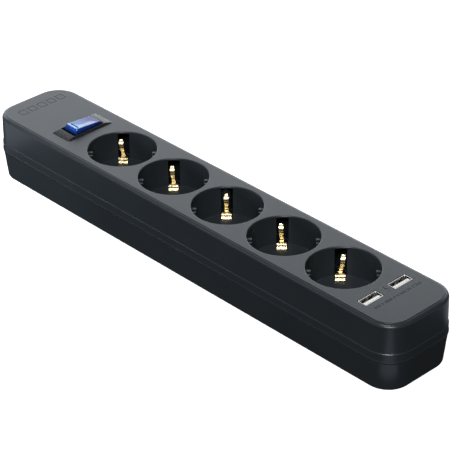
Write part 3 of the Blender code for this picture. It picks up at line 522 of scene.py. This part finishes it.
def make_cover():
    """The top moulding: a hollow shell with the recesses, ribs, openings and marks."""
    edge_z, edge_inset = 38.0, 0.82
    outer = [(SEAM_Z + 0.25, 0.32), (SEAM_Z + 0.33, 0.10), (SEAM_Z + 0.5, 0.0)]
    # A fine chamfer low on the side, and the larger one of the ledge
    outer += [(18.40, 0.0), (18.50, 0.04), (18.68, 0.18), (18.78, 0.2)]
    outer += [(22.78, 0.2), (22.88, 0.24), (23.22, 0.54), (23.34, 0.57)]
    # The rounded top edge, and a fine step up to the flat top
    outer += [(edge_z, edge_inset)]
    outer += arc(8, 2.3, 1.66, edge_inset, edge_z)
    outer += [(39.68, 3.28), (39.73, 3.33), (39.94, 3.40), (HEIGHT, 3.52)]
    cover = loft("cover_shell", body_levels(outer), 20)
    inner = [(SEAM_Z - 5, WALL), (22, WALL), (HEIGHT - WALL, WALL + 0.8)]
    boolean(cover, loft("inside", body_levels(inner), 8), "DIFFERENCE")
    boolean(cover, cover_cups(), "UNION")
    boolean(cover, cover_recesses(), "DIFFERENCE")
    boolean(cover, cover_ribs(), "UNION")
    boolean(cover, cover_openings(), "DIFFERENCE", crossing=True)
    settle(cover)
    smooth(cover)
    return cover


def cover_cups():
    """The walls and floors round the recesses, and the screw pillars."""
    bm = bmesh.new()
    for x in SOCKETS:
        add_cylinder(bm, RECESS_RADIUS + 1.5, FLOOR_Z - 2, HEIGHT - 1, (x, 0), 96)
    for place in SCREWS:
        add_cylinder(bm, 3.2, 7, HEIGHT - 1.2, place)
    return object_from(bm, "cups")


def cover_recesses():
    """The five recesses, each with a rounded rim, a slight draft and a small foot fillet."""
    rim, steps = 0.7, 6
    profile = [(0, HEIGHT + 1), (RECESS_RADIUS + rim, HEIGHT + 1)]
    for step in range(steps + 1):
        angle = math.pi / 2 * (1 - step / steps)
        radius = RECESS_RADIUS + rim * (1 - math.cos(angle))
        profile.append((radius, HEIGHT - rim + rim * math.sin(angle)))
    profile.append((RECESS_RADIUS - 0.15, FLOOR_Z + 0.05))
    profile.append((RECESS_RADIUS - 0.2, FLOOR_Z))
    profile.append((0, FLOOR_Z))
    bm = bmesh.new()
    for x in SOCKETS:
        add_turned(bm, profile, 128, (x, 0))
    return object_from(bm, "recesses")


def cover_ribs():
    bm = bmesh.new()
    for x in SOCKETS:
        for side in (1, -1):
            add_rib(bm, x, side)
    return object_from(bm, "ribs")


def cover_openings():
    """Cutters for the clip slots, rib grooves, pin holes, USB and switch windows, and marks."""
    bm = bmesh.new()
    hole, lip = 3.0, 0.6
    pin_hole = [(0, FLOOR_Z + 1), (hole + lip, FLOOR_Z + 1), (hole + lip, FLOOR_Z)]
    pin_hole += [(hole, FLOOR_Z - lip), (hole, 15), (0, 15)]
    for x in SOCKETS:
        middle = (x, 0, 0)
        for side in (1, -1):
            half_turn = 0 if side > 0 else math.pi
            # The slot for a clip's finger in the wall, and the one for its leg in the floor
            add_box(bm, (3.6, 6.6, 16.8), (x + 20.9, 0, 30.4), SLOT_TURN - half_turn, middle)
            add_box(bm, (1.3, 3.8, 8), (x + 13.9, 0, FLOOR_Z), CLIP_TURN - half_turn, middle)
            groove = (x + 17.75, -0.5 * side, RIB_TOP - 2)
            add_box(bm, (3.3, 2.6, 8), groove, RIB_TURN + half_turn, middle)
            reach = PIN_OFFSET * math.sqrt(0.5) * side
            add_turned(bm, pin_hole, 48, (x + reach, reach))
    for side in (1, -1):
        rings = []
        for z, grow in ((30, 0), (39.92, 0), (40.2, 0.4)):
            points = ring_points(6.3 + grow, 13.7 + grow, 0.8 + grow / 4, 4)
            rings.append([bm.verts.new((x + USB_X, y + side * USB_Y, z)) for x, y in points])
        skin(bm, rings)
    add_box(bm, (14.0, 27.3, 8), (SWITCH_X, 0, 39))
    add_marks(bm)
    return object_from(bm, "holes")


def add_rib(bm, x, side):
    """A guide rib down the recess wall, with round inner corners and soft top edges."""
    outer, rounding = RECESS_RADIUS + 0.8, 0.5
    turn = RIB_TURN if side > 0 else RIB_TURN + math.pi
    rings = []
    for drop, shrink in ((RIB_TOP - FLOOR_Z + 1, 0.0), (0.15, 0.0), (0.04, 0.04), (0, 0.14)):
        z, inner, side_half = RIB_TOP - drop, RIB_INNER + shrink, RIB_HALF - shrink
        plan = [(outer, side_half)]
        for y_side in (1, -1):
            for step in range(5):
                angle = math.pi / 2 * (step / 4 if y_side > 0 else 1 - step / 4)
                along = inner + rounding * (1 - math.sin(angle))
                plan.append((along, y_side * (side_half - rounding * (1 - math.cos(angle)))))
        plan.append((outer, -side_half))
        ring = []
        for a, c in plan:
            along_x = a * math.cos(turn) - c * math.sin(turn)
            along_y = a * math.sin(turn) + c * math.cos(turn)
            ring.append(bm.verts.new((x + along_x, along_y, z)))
        rings.append(ring)
    skin(bm, rings)


def add_marks(bm):
    """Shallow generic marks: a bolt between the charging sockets, a dashed rule, five frames."""
    bolt = [(0.6, 2.7), (-1.5, -0.3), (-0.2, -0.3), (-0.6, -2.7), (1.5, 0.3), (0.2, 0.3)]
    add_prism(bm, [(128.6 - y, 0.7 + x) for x, y in bolt], HEIGHT - DASH_DEPTH, HEIGHT + 1)
    rule_x, dash_y, gap = 136.6, -16.0, 1.0
    for length in DASHES:
        for row in (-0.45, 0.45):
            centre = (rule_x + row, dash_y + length / 2, HEIGHT + 0.5 - DASH_DEPTH / 2)
            add_box(bm, (0.38, length, 1 + DASH_DEPTH), centre)
        dash_y += length + gap
    # Each frame has two bars along X and two along Y
    frame_x, first_y, spacing, line = -143.6, -12.8, 6.9, 0.42
    tall, middle_z = 1 + FRAME_DEPTH, HEIGHT + 0.5 - FRAME_DEPTH / 2
    for number in range(5):
        y = first_y + number * spacing
        for end in (1, -1):
            add_box(bm, (5.4, line, tall), (frame_x, y + 2.2 * end, middle_z))
        for end in (1, -1):
            add_box(bm, (line, 4.4 - line, tall), (frame_x + 2.5 * end, y, middle_z))


def make_base():
    """The tapered tray, with screw bosses, two keyholes and the hole for the cord gland."""
    outer = [(0.0, 3.3), (0.12, 2.72), (0.45, 2.3), (0.9, 2.08), (1.6, 1.98)]
    outer += [(8.0, 1.28), (12.5, 0.85)]
    outer += [(SEAM_Z - 0.30, 0.28), (SEAM_Z - 0.22, 0.32), (SEAM_Z - 0.2, 0.55)]
    base = loft("base_shell", body_levels(outer), 20)
    inside = loft("inside", body_levels([(WALL, 4.2), (SEAM_Z + 1, WALL + 0.2)]), 8)
    boolean(base, inside, "DIFFERENCE")
    bm = bmesh.new()
    for place in SCREWS:
        add_cylinder(bm, 4.6, 1, 6.4, place)
    boolean(base, object_from(bm, "bosses"), "UNION")
    bm = bmesh.new()
    counterbore = [(0, 4), (3.4, 4), (3.4, 0.35), (3.8, -0.05), (3.8, -1), (0, -1)]
    for place in SCREWS:
        add_turned(bm, counterbore, 40, place)
        add_cylinder(bm, 1.6, 3.5, 8, place)
    for x in (KEYHOLE_X, -KEYHOLE_X):
        add_keyhole(bm, x)
    boolean(base, object_from(bm, "holes"), "DIFFERENCE")
    bm = bmesh.new()
    gland_hole = [(0, 6), (6.0, 6), (6.0, 0.6), (6.5, 0.0), (6.5, -1), (0, -1)]
    lay_along_x(bm, add_turned(bm, gland_hole, 48, (0, 0)))
    bmesh.ops.translate(bm, vec=(-LENGTH / 2 + 1.15, 0, CORD_Z), verts=bm.verts)
    boolean(base, object_from(bm, "gland_hole"), "DIFFERENCE")
    settle(base)
    smooth(base)
    return base


def add_keyhole(bm, x):
    """A round head opening that runs into a narrow slot along +X."""
    head, slot, run = 4.2, 2.1, 9.0
    head_steps, slot_steps = 32, 12
    points = []
    start = math.asin(slot / head)
    for step in range(head_steps + 1):
        angle = start + (2 * math.pi - 2 * start) * step / head_steps
        points.append((x + head * math.cos(angle), head * math.sin(angle)))
    for step in range(slot_steps + 1):
        angle = -math.pi / 2 + math.pi * step / slot_steps
        points.append((x + run + slot * math.cos(angle), slot * math.sin(angle)))
    add_prism(bm, points, -1, 2 * WALL)


# Earth clips


def clip_line():
    """Centre line of a clip as (radius, height), from the leg to the finger's tip."""
    knots = [
        (13.9, 6.2),
        (13.9, 21.6),
        (13.95, 22.5),
        (14.2, 22.95),
        (14.95, 23.45),
        (15.2, 23.8),
        (15.25, 24.3),
        (15.5, 24.65),
        (16.6, 25.05),
        (17.8, 25.15),
        (18.45, 25.5),
        (18.65, 26.2),
        (18.5, 27.3),
        (17.75, 29.2),
        (17.0, 30.8),
        (16.6, 31.9),
        (16.5, 32.9),
        (16.8, 33.8),
        (17.4, 34.6),
        (18.2, 35.3),
        (18.8, 35.65),
    ]
    knots = [Vector(knot) for knot in knots]
    points = []
    steps = 4
    for p0, p1, p2, p3 in zip(knots[:1] + knots, knots, knots[1:], knots[2:] + knots[-1:]):
        # A Catmull-Rom piece from p1 to p2
        b = p2 - p0
        c = 2 * p0 - 5 * p1 + 4 * p2 - p3
        d = -p0 + 3 * p1 - 3 * p2 + p3
        for step in range(steps):
            t = step / steps
            points.append(0.5 * (2 * p1 + b * t + c * t * t + d * t * t * t))
    points.append(knots[-1])
    return points


def between(value, stops):
    """A smooth value from (position, value) stops."""
    if value <= stops[0][0]:
        return stops[0][1]
    for (low, first), (high, second) in zip(stops, stops[1:]):
        if value <= high:
            t = (value - low) / (high - low)
            t = t * t * (3 - 2 * t)
            return first + (second - first) * t
    return stops[-1][1]


def make_clip(name, lean):
    """Sheet brass: leg, foot, plate, and a waisted finger that leans and has a rounded head."""
    points = clip_line()
    bm = bmesh.new()
    rings = []
    run = 0.0
    thickness, soft, tip_radius, least = 0.5, 0.12, 1.25, 0.3
    lean_from, lean_height = 25.4, 10.2
    plate_shift, plate_from, plate_run = 1.0, 15.4, 0.6
    total = sum((b - a).length for a, b in zip(points, points[1:]))
    for i, point in enumerate(points):
        if i:
            run += (point - points[i - 1]).length
        ahead = points[min(i + 1, len(points) - 1)] - points[max(i - 1, 0)]
        ahead.normalize()
        normal = Vector((-ahead.y, ahead.x))
        left = total - run
        half = between(run, CLIP_WIDTHS)
        if left < tip_radius:
            half = max(least, math.sqrt(max(0.0, tip_radius**2 - (tip_radius - left) ** 2)))
        shift = plate_shift * min(1.0, max(0.0, (run - plate_from) / plate_run))
        shift -= lean * max(0.0, (point.y - lean_from) / lean_height) ** 0.65
        edge = 0.5 - soft / thickness
        section = []
        for u, v in (
            (half - soft, 0.5),
            (half, edge),
            (half, -edge),
            (half - soft, -0.5),
            (-half + soft, -0.5),
            (-half, -edge),
            (-half, edge),
            (-half + soft, 0.5),
        ):
            place = point + normal * (v * thickness)
            section.append(bm.verts.new((place.x, u + shift, place.y)))
        rings.append(section)
    skin(bm, rings)
    made = object_from(bm, name)
    settle(made)
    smooth(made, 40)
    return made


def make_clips():
    for number, x in enumerate(SOCKETS):
        for tag, turn, lean in (
            ("far", math.pi * 0.75, CLIP_LEANS[number]),
            ("near", -math.pi * 0.25, 0.4 * CLIP_LEANS[-1 - number]),
        ):
            clip = make_clip(f"clip_{number + 1}_{tag}", lean)
            place = Matrix.Translation((x * MM, 0, 0)) @ Matrix.Rotation(turn, 4, "Z")
            clip.data.transform(place)
            finish_piece(clip, "housing", "brass", CLIP_BRASS, f"earth_clip_{number + 1}_{tag}")


# Switch


def switch_place():
    """The switch's own frame in metres: its origin is on the hinge, and it has the rest tilt."""
    hinge = Matrix.Translation((SWITCH_X * MM, 0, HINGE_Z * MM))
    return hinge @ Matrix.Rotation(ROCKER_TILT, 4, "X")


def make_bezel():
    """The switch housing with its sloped frame, its well, and openings for the terminals."""
    levels = [
        (39.95, 15.2, 32.3, 1.2),
        (40.10, 15.4, 32.5, 1.3),
        (40.20, 15.3, 32.3, 1.2),
        (40.52, 14.6, 29.8, 1.0),
        (40.82, 13.8, 26.8, 0.8),
        (41.02, 13.1, 23.9, 0.7),
        (41.10, 12.8, 22.8, 0.6),
        (41.08, 12.4, 22.1, 0.5),
    ]
    bezel = loft("switch_bezel", levels, 6, (SWITCH_X, 0))
    foot, head = 18.6, 40.1
    bm = bmesh.new()
    add_box(bm, (13.7, 27.0, head - foot), (SWITCH_X, 0, (head + foot) / 2))
    boolean(bezel, object_from(bm, "body"), "UNION")
    levels = [(20.4, 12.1, 21.8, 0.4), (40.7, 12.1, 21.8, 0.4), (41.3, 12.5, 22.2, 0.5)]
    boolean(bezel, loft("well", levels, 3, (SWITCH_X, 0)), "DIFFERENCE")
    bm = bmesh.new()
    for side in (1, -1):
        for y in (0, 7.6):
            add_box(bm, (3.6, 1.4, 6), (SWITCH_X + side * PLUNGER_X, y, 19.4))
    hinge_bore = add_cylinder(bm, 1.5, -8, 8, (0, 0))
    lay_along_x(bm, hinge_bore)
    bmesh.ops.translate(bm, vec=(SWITCH_X, 0, HINGE_Z), verts=hinge_bore)
    boolean(bezel, object_from(bm, "openings"), "DIFFERENCE")
    settle(bezel)
    smooth(bezel, 30)
    finish_piece(bezel, "housing", "dark_plastic", GRID, "switch_housing")


def rocker_dish(y):
    """How far the rocker's face is dished at y: 0.45 mm in the middle, nothing at the ends."""
    return 0.45 * max(0.0, 1 - (y / 8.9) ** 2)


def make_rocker():
    """The rocker, made in the switch's own frame: a shell with a dished face, cheeks and pins."""
    bm = bmesh.new()
    rings = []
    # Height, length, width and corner radius, and how much of the dish each level takes
    levels = [
        (1.0, 11.5, 19.9, 1.2, 0),
        (6.5, 11.5, 19.9, 1.2, 0),
        (6.85, 11.42, 19.8, 1.2, 0),
        (7.2, 11.1, 19.55, 1.2, 0),
        (9.1, 9.95, 18.55, 1.2, 0.2),
        (9.6, 9.6, 18.25, 1.2, 0.6),
        (9.92, 9.2, 17.85, 1.1, 0.9),
        (10.06, 8.8, 17.45, 1.0, 1),
        (10.10, 8.3, 16.95, 0.9, 1),
        (10.10, 6.3, 14.95, 0.7, 1),
        (10.10, 4.3, 12.95, 0.5, 1),
        (10.10, 2.3, 10.95, 0.3, 1),
        (10.10, 0.8, 9.45, 0.1, 1),
    ]
    for z, length, width, radius, dished in levels:
        points = ring_points(length, width, radius, 6)
        rings.append([bm.verts.new((x, y, z - dished * rocker_dish(y))) for x, y in points])
    skin(bm, rings)
    rocker = object_from(bm, "rocker_shell")
    bm = bmesh.new()
    add_box(bm, (8.6, 16.0, 11.5), (0, 0, 2.7))
    boolean(rocker, object_from(bm, "hollow"), "DIFFERENCE")
    bm = bmesh.new()
    for side in (1, -1):
        add_box(bm, (1.3, 6, 4.2), (side * 5.05, 0, -0.1))
        add_cylinder(bm, 1.9, 0.2, 8.9, (side * PLUNGER_X, 0))
    boolean(rocker, object_from(bm, "cheeks"), "UNION", crossing=True)
    bm = bmesh.new()
    for side in (1, -1):
        add_cylinder(bm, 1.3, -1, 8.1, (side * PLUNGER_X, 0))
    # The short sunk line on the face
    add_box(bm, (6.4, 1.2, 2), (0, -6.5, 10.3))
    boolean(rocker, object_from(bm, "bores"), "DIFFERENCE")
    bm = bmesh.new()
    for side in (1, -1):
        lay_along_x(bm, add_cylinder(bm, 1.2, 5.0, 6.6, (0, 0)), side * math.pi / 2)
    boolean(rocker, object_from(bm, "pins"), "UNION")
    settle(rocker)
    rocker.data.transform(switch_place())
    smooth(rocker, 38)
    finish_piece(rocker, "rocker", "blue_plastic", BLUE, "rocker")


def make_spring(pole, side):
    """A coil spring from a plunger's head to the rocker's roof."""
    turns, steps, sides, wire, coil = 5, 20, 8, 0.2, 0.7
    length = SPRING_HIGH - SPRING_LOW
    slope = 2 * math.pi * coil * turns / length
    bm = bmesh.new()
    rings = []
    for step in range(turns * steps + 1):
        angle = 2 * math.pi * step / steps
        z = SPRING_LOW + length * step / (turns * steps)
        out = Vector((math.cos(angle), math.sin(angle), 0))
        centre = coil * out + Vector((0, 0, z))
        up = Vector((math.sin(angle), -math.cos(angle), slope)).normalized()
        ring = []
        for corner in range(sides):
            around = 2 * math.pi * corner / sides
            offset = out * math.cos(around) + up * math.sin(around)
            ring.append(bm.verts.new(centre + wire * offset))
        rings.append(ring)
    skin(bm, rings)
    spring = object_from(bm, f"spring_{pole}")
    settle(spring)
    place = switch_place() @ Matrix.Translation((side * PLUNGER_X * MM, 0, 0))
    spring.data.transform(place)
    smooth(spring, 60)
    paint(spring, STEEL)
    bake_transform(spring)
    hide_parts(f"{pole}_plunger_spring")


# USB sockets


def make_usb(tag, side):
    """One charging socket: steel shell, white tongue, and four contacts in its channels."""
    y = side * USB_Y
    make_usb_shell(tag, y)
    low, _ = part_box(f"usb_tongue_{tag}")
    floor, tip = low.z / MM, HEIGHT - 0.45
    blade_x = USB_X + 0.825
    make_usb_tongue(tag, blade_x, y, floor, tip)
    bm = bmesh.new()
    for contact_y in usb_contact_places(y):
        add_box(bm, (0.14, 0.9, 6.2), (blade_x - 0.84, contact_y, tip - 4.7))
    bmesh.ops.bevel(bm, geom=bm.edges[:], offset=0.04, segments=1, affect="EDGES")
    contacts = object_from(bm, f"usb_contacts_{tag}")
    settle(contacts)
    smooth(contacts, 35)
    finish_piece(contacts, "housing", "brass", BRASS)


def usb_contact_places(y):
    return [y - 3.5 + number * 2.333 for number in range(4)]


def make_usb_shell(tag, y):
    """A folded can with a soft rim, and two spring leaves in windows of its -X wall."""
    low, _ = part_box(f"usb_shell_{tag}")
    bottom, top = low.z / MM, HEIGHT - 0.12
    centre = (USB_X, y)
    levels = [
        (bottom, 5.5, 12.9, 0.5),
        (bottom + 0.2, 5.7, 13.1, 0.6),
        (top - 0.08, 5.7, 13.1, 0.6),
        (top, 5.6, 13.0, 0.55),
    ]
    shell = loft(f"usb_can_{tag}", levels, 4, centre)
    levels = [
        (bottom + 1.0, 4.9, 12.3, 0.35),
        (top - 0.2, 4.9, 12.3, 0.35),
        (top + 0.05, 5.2, 12.6, 0.4),
        (top + 1, 5.2, 12.6, 0.4),
    ]
    boolean(shell, loft("mouth", levels, 4, centre), "DIFFERENCE")
    leaf_places = (y - 2.9, y + 2.9)
    bm = bmesh.new()
    for leaf_y in leaf_places:
        add_box(bm, (1.2, 2.3, 4.6), (USB_X - 2.75, leaf_y, top - 3.4))
    boolean(shell, object_from(bm, "windows"), "DIFFERENCE")
    bm = bmesh.new()
    lean = Matrix.Rotation(math.radians(8), 3, "Y")
    for leaf_y in leaf_places:
        leaf = add_box(bm, (0.25, 1.7, 3.6), (USB_X - 2.35, leaf_y, top - 3.3))
        bmesh.ops.rotate(bm, cent=(USB_X - 2.6, leaf_y, top - 5.1), matrix=lean, verts=leaf)
    boolean(shell, object_from(bm, "leaves"), "UNION")
    settle(shell)
    smooth(shell, 35)
    finish_piece(shell, "housing", "steel", STEEL, f"usb_shell_{tag}")


def make_usb_tongue(tag, blade_x, y, floor, tip):
    """The white blade on its block, with a channel for each contact."""
    levels = [
        (floor + 2, 1.85, 11.0, 0.15),
        (tip - 0.5, 1.85, 11.0, 0.15),
        (tip - 0.12, 1.6, 10.8, 0.15),
        (tip, 1.2, 10.5, 0.15),
    ]
    tongue = loft(f"usb_blade_{tag}", levels, 3, (blade_x, y))
    levels = [
        (floor, 4.2, 11.6, 0.3),
        (floor + 2.3, 4.2, 11.6, 0.3),
        (floor + 2.4, 4.1, 11.5, 0.3),
    ]
    boolean(tongue, loft("block", levels, 3, (USB_X, y)), "UNION")
    bm = bmesh.new()
    for contact_y in usb_contact_places(y):
        add_box(bm, (0.5, 1.1, 6.6), (blade_x - 0.925, contact_y, tip - 4.6))
    boolean(tongue, object_from(bm, "channels"), "DIFFERENCE")
    settle(tongue)
    smooth(tongue, 35)
    finish_piece(tongue, "housing", "white_plastic", WHITE, f"usb_tongue_{tag}")


# CAD pieces that keep their shape


def dress(surface, *endings):
    """Paints every CAD node whose name ends with one of the endings."""
    for name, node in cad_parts.items():
        if name.endswith(endings):
            paint(node, surface)


def dress_cad_pieces():
    dress(BRASS, "_busbar", "line_plunger", "neutral_plunger", "_terminal", "_lever")
    for name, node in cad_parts.items():
        if "screw" in name:
            paint(node, ZINC)
        elif name.endswith("_wire"):
            pole = name.split("_")[0]
            paint(node, {"line": BROWN, "neutral": BLUE_WIRE, "earth": GREEN_WIRE}[pole])
    dress(BLACK, "cord_gland", "transformer", "input_capacitor", "output_capacitor")
    dress(WHITE, "cord_clamp", "indicator_lamp")
    dress(BOARD, "charger_board")
    dress(BROWN, "board_fuse")


finish_piece(make_cover(), "housing", "charcoal_plastic", CHARCOAL, "top_cover")
finish_piece(make_base(), "housing", "charcoal_plastic", CHARCOAL, "base")
make_clips()
make_bezel()
make_rocker()
make_spring("line", -1)
make_spring("neutral", 1)
make_usb("far", 1)
make_usb("near", -1)
dress_cad_pieces()


# Studio


def plain_surface(name, colour, emission, glow=(1, 1, 1)):
    """A matt surface that also glows."""
    made = bpy.data.materials.new(name)
    made.use_nodes = True
    shader = made.node_tree.nodes["Principled BSDF"]
    shader.inputs["Base Color"].default_value = (*colour, 1)
    shader.inputs["Roughness"].default_value = 0.9
    shader.inputs["Specular IOR Level"].default_value = 0.0
    shader.inputs["Emission Color"].default_value = (*glow, 1)
    shader.inputs["Emission Strength"].default_value = emission
    return made


def make_floor():
    """A pale floor, which the strip neither mirrors nor is lit by."""
    bm = bmesh.new()
    bmesh.ops.create_grid(bm, x_segments=1, y_segments=1, size=6)
    floor = object_from(bm, "floor")
    floor.data.materials.append(plain_surface("floor_white", (0.85, 0.85, 0.85), 0.80))
    floor.visible_diffuse = False
    floor.visible_glossy = False


def make_gleam(name, area, strength, corner=(0, 0), turn=0):
    """A bright part of the table top that only shows as a reflection in the plastic.

    The area is (x0, y0, x1, y1), measured from the corner and turned about it by degrees.
    """
    above_floor = 0.0002
    x0, y0, x1, y1 = area
    outline = ((x0, y0), (x1, y0), (x1, y1), (x0, y1))
    bm = bmesh.new()
    bm.faces.new([bm.verts.new((x, y, above_floor)) for x, y in outline])
    gleam = object_from(bm, name)
    gleam.location = (*corner, 0)
    gleam.rotation_euler.z = math.radians(turn)
    glow = plain_surface(name + "_glow", (0, 0, 0), strength, (0.90, 0.98, 1.10))
    gleam.data.materials.append(glow)
    gleam.visible_camera = False
    gleam.visible_diffuse = False
    gleam.visible_shadow = False


def make_panel(name, place, target, size, power, colour=(1, 1, 1)):
    """A soft rectangular light that faces the target."""
    light = bpy.data.lights.new(name, "AREA")
    light.shape = "RECTANGLE"
    light.size, light.size_y = size
    light.energy = power
    light.color = colour
    made = bpy.data.objects.new(name, light)
    made.location = place
    way = Vector(target) - Vector(place)
    made.rotation_euler = way.to_track_quat("-Z", "Y").to_euler()
    made.visible_camera = False
    bpy.context.scene.collection.objects.link(made)
    return made


def towards(azimuth, elevation, distance=1.0):
    """A point seen from the strip: azimuth 0 is the -Y side, 90 the +X side."""
    a, e = math.radians(azimuth), math.radians(elevation)
    way = Vector((math.sin(a) * math.cos(e), -math.cos(a) * math.cos(e), math.sin(e)))
    return distance * way


def make_world():
    world = bpy.data.worlds.new("studio")
    world.use_nodes = True
    bpy.context.scene.world = world
    background = world.node_tree.nodes["Background"]
    background.inputs["Color"].default_value = (1, 1, 1, 1)
    background.inputs["Strength"].default_value = 0.03


def make_camera():
    """A long lens on the strip's USB end, from the front right and above."""
    distance, target = 1.0832, Vector((0.00582, 0.00702, 0.020))
    roll = math.radians(-0.617)
    back = towards(46.758, 31.727)
    right = Vector((0, 0, 1)).cross(back).normalized()
    up = back.cross(right)
    across = right * math.cos(roll) + up * math.sin(roll)
    upright = -right * math.sin(roll) + up * math.cos(roll)
    camera = bpy.data.objects.new("camera", bpy.data.cameras.new("camera"))
    camera.data.sensor_width = 36
    camera.data.lens = 158.37
    rotation = Matrix((across, upright, back)).transposed().to_4x4()
    camera.matrix_world = Matrix.Translation(target + back * distance) @ rotation
    bpy.context.scene.collection.objects.link(camera)
    bpy.context.scene.camera = camera


make_world()
make_floor()
middle = (0, 0, 0.03)
make_panel("overhead", towards(45, 84, 1.2), (0.1, 0, 0.03), (0.09, 0.09), 2.6)
make_panel("back_low", towards(227, 12, 1.5), middle, (2.4, 0.40), 8.5, COOL)
make_panel("back_middle", towards(227, 26, 1.5), middle, (2.2, 0.34), 3.4, COOL)
make_panel("back_high", towards(227, 37, 1.5), middle, (2.0, 0.30), 2.8, COOL)
left_high = make_panel("left_high", towards(307, 42, 1.3), middle, (0.60, 0.40), 1.0, COOL)
left_high.visible_diffuse = False
make_panel("front_top", towards(46, 42, 1.3), middle, (0.50, 0.28), 9.5)
end_place, end_target = (-0.26, -0.22, 0.10), (-0.13, 0, 0.02)
left_end = make_panel("left_end", end_place, end_target, (0.12, 0.10), 0.62, COOL)
left_end.visible_glossy = False
make_gleam("gleam_left", (-0.42, -0.30, -0.175, -0.045), 0.7)
make_gleam("gleam_right", (0.10, 0.055, 0.42, 0.35), 0.38)
make_gleam("gleam_corner", (0.006, -0.012, 0.15, 0.012), 0.52, (0.153, -0.022), -45)
make_camera()
bpy.context.scene.view_settings.view_transform = "Standard"
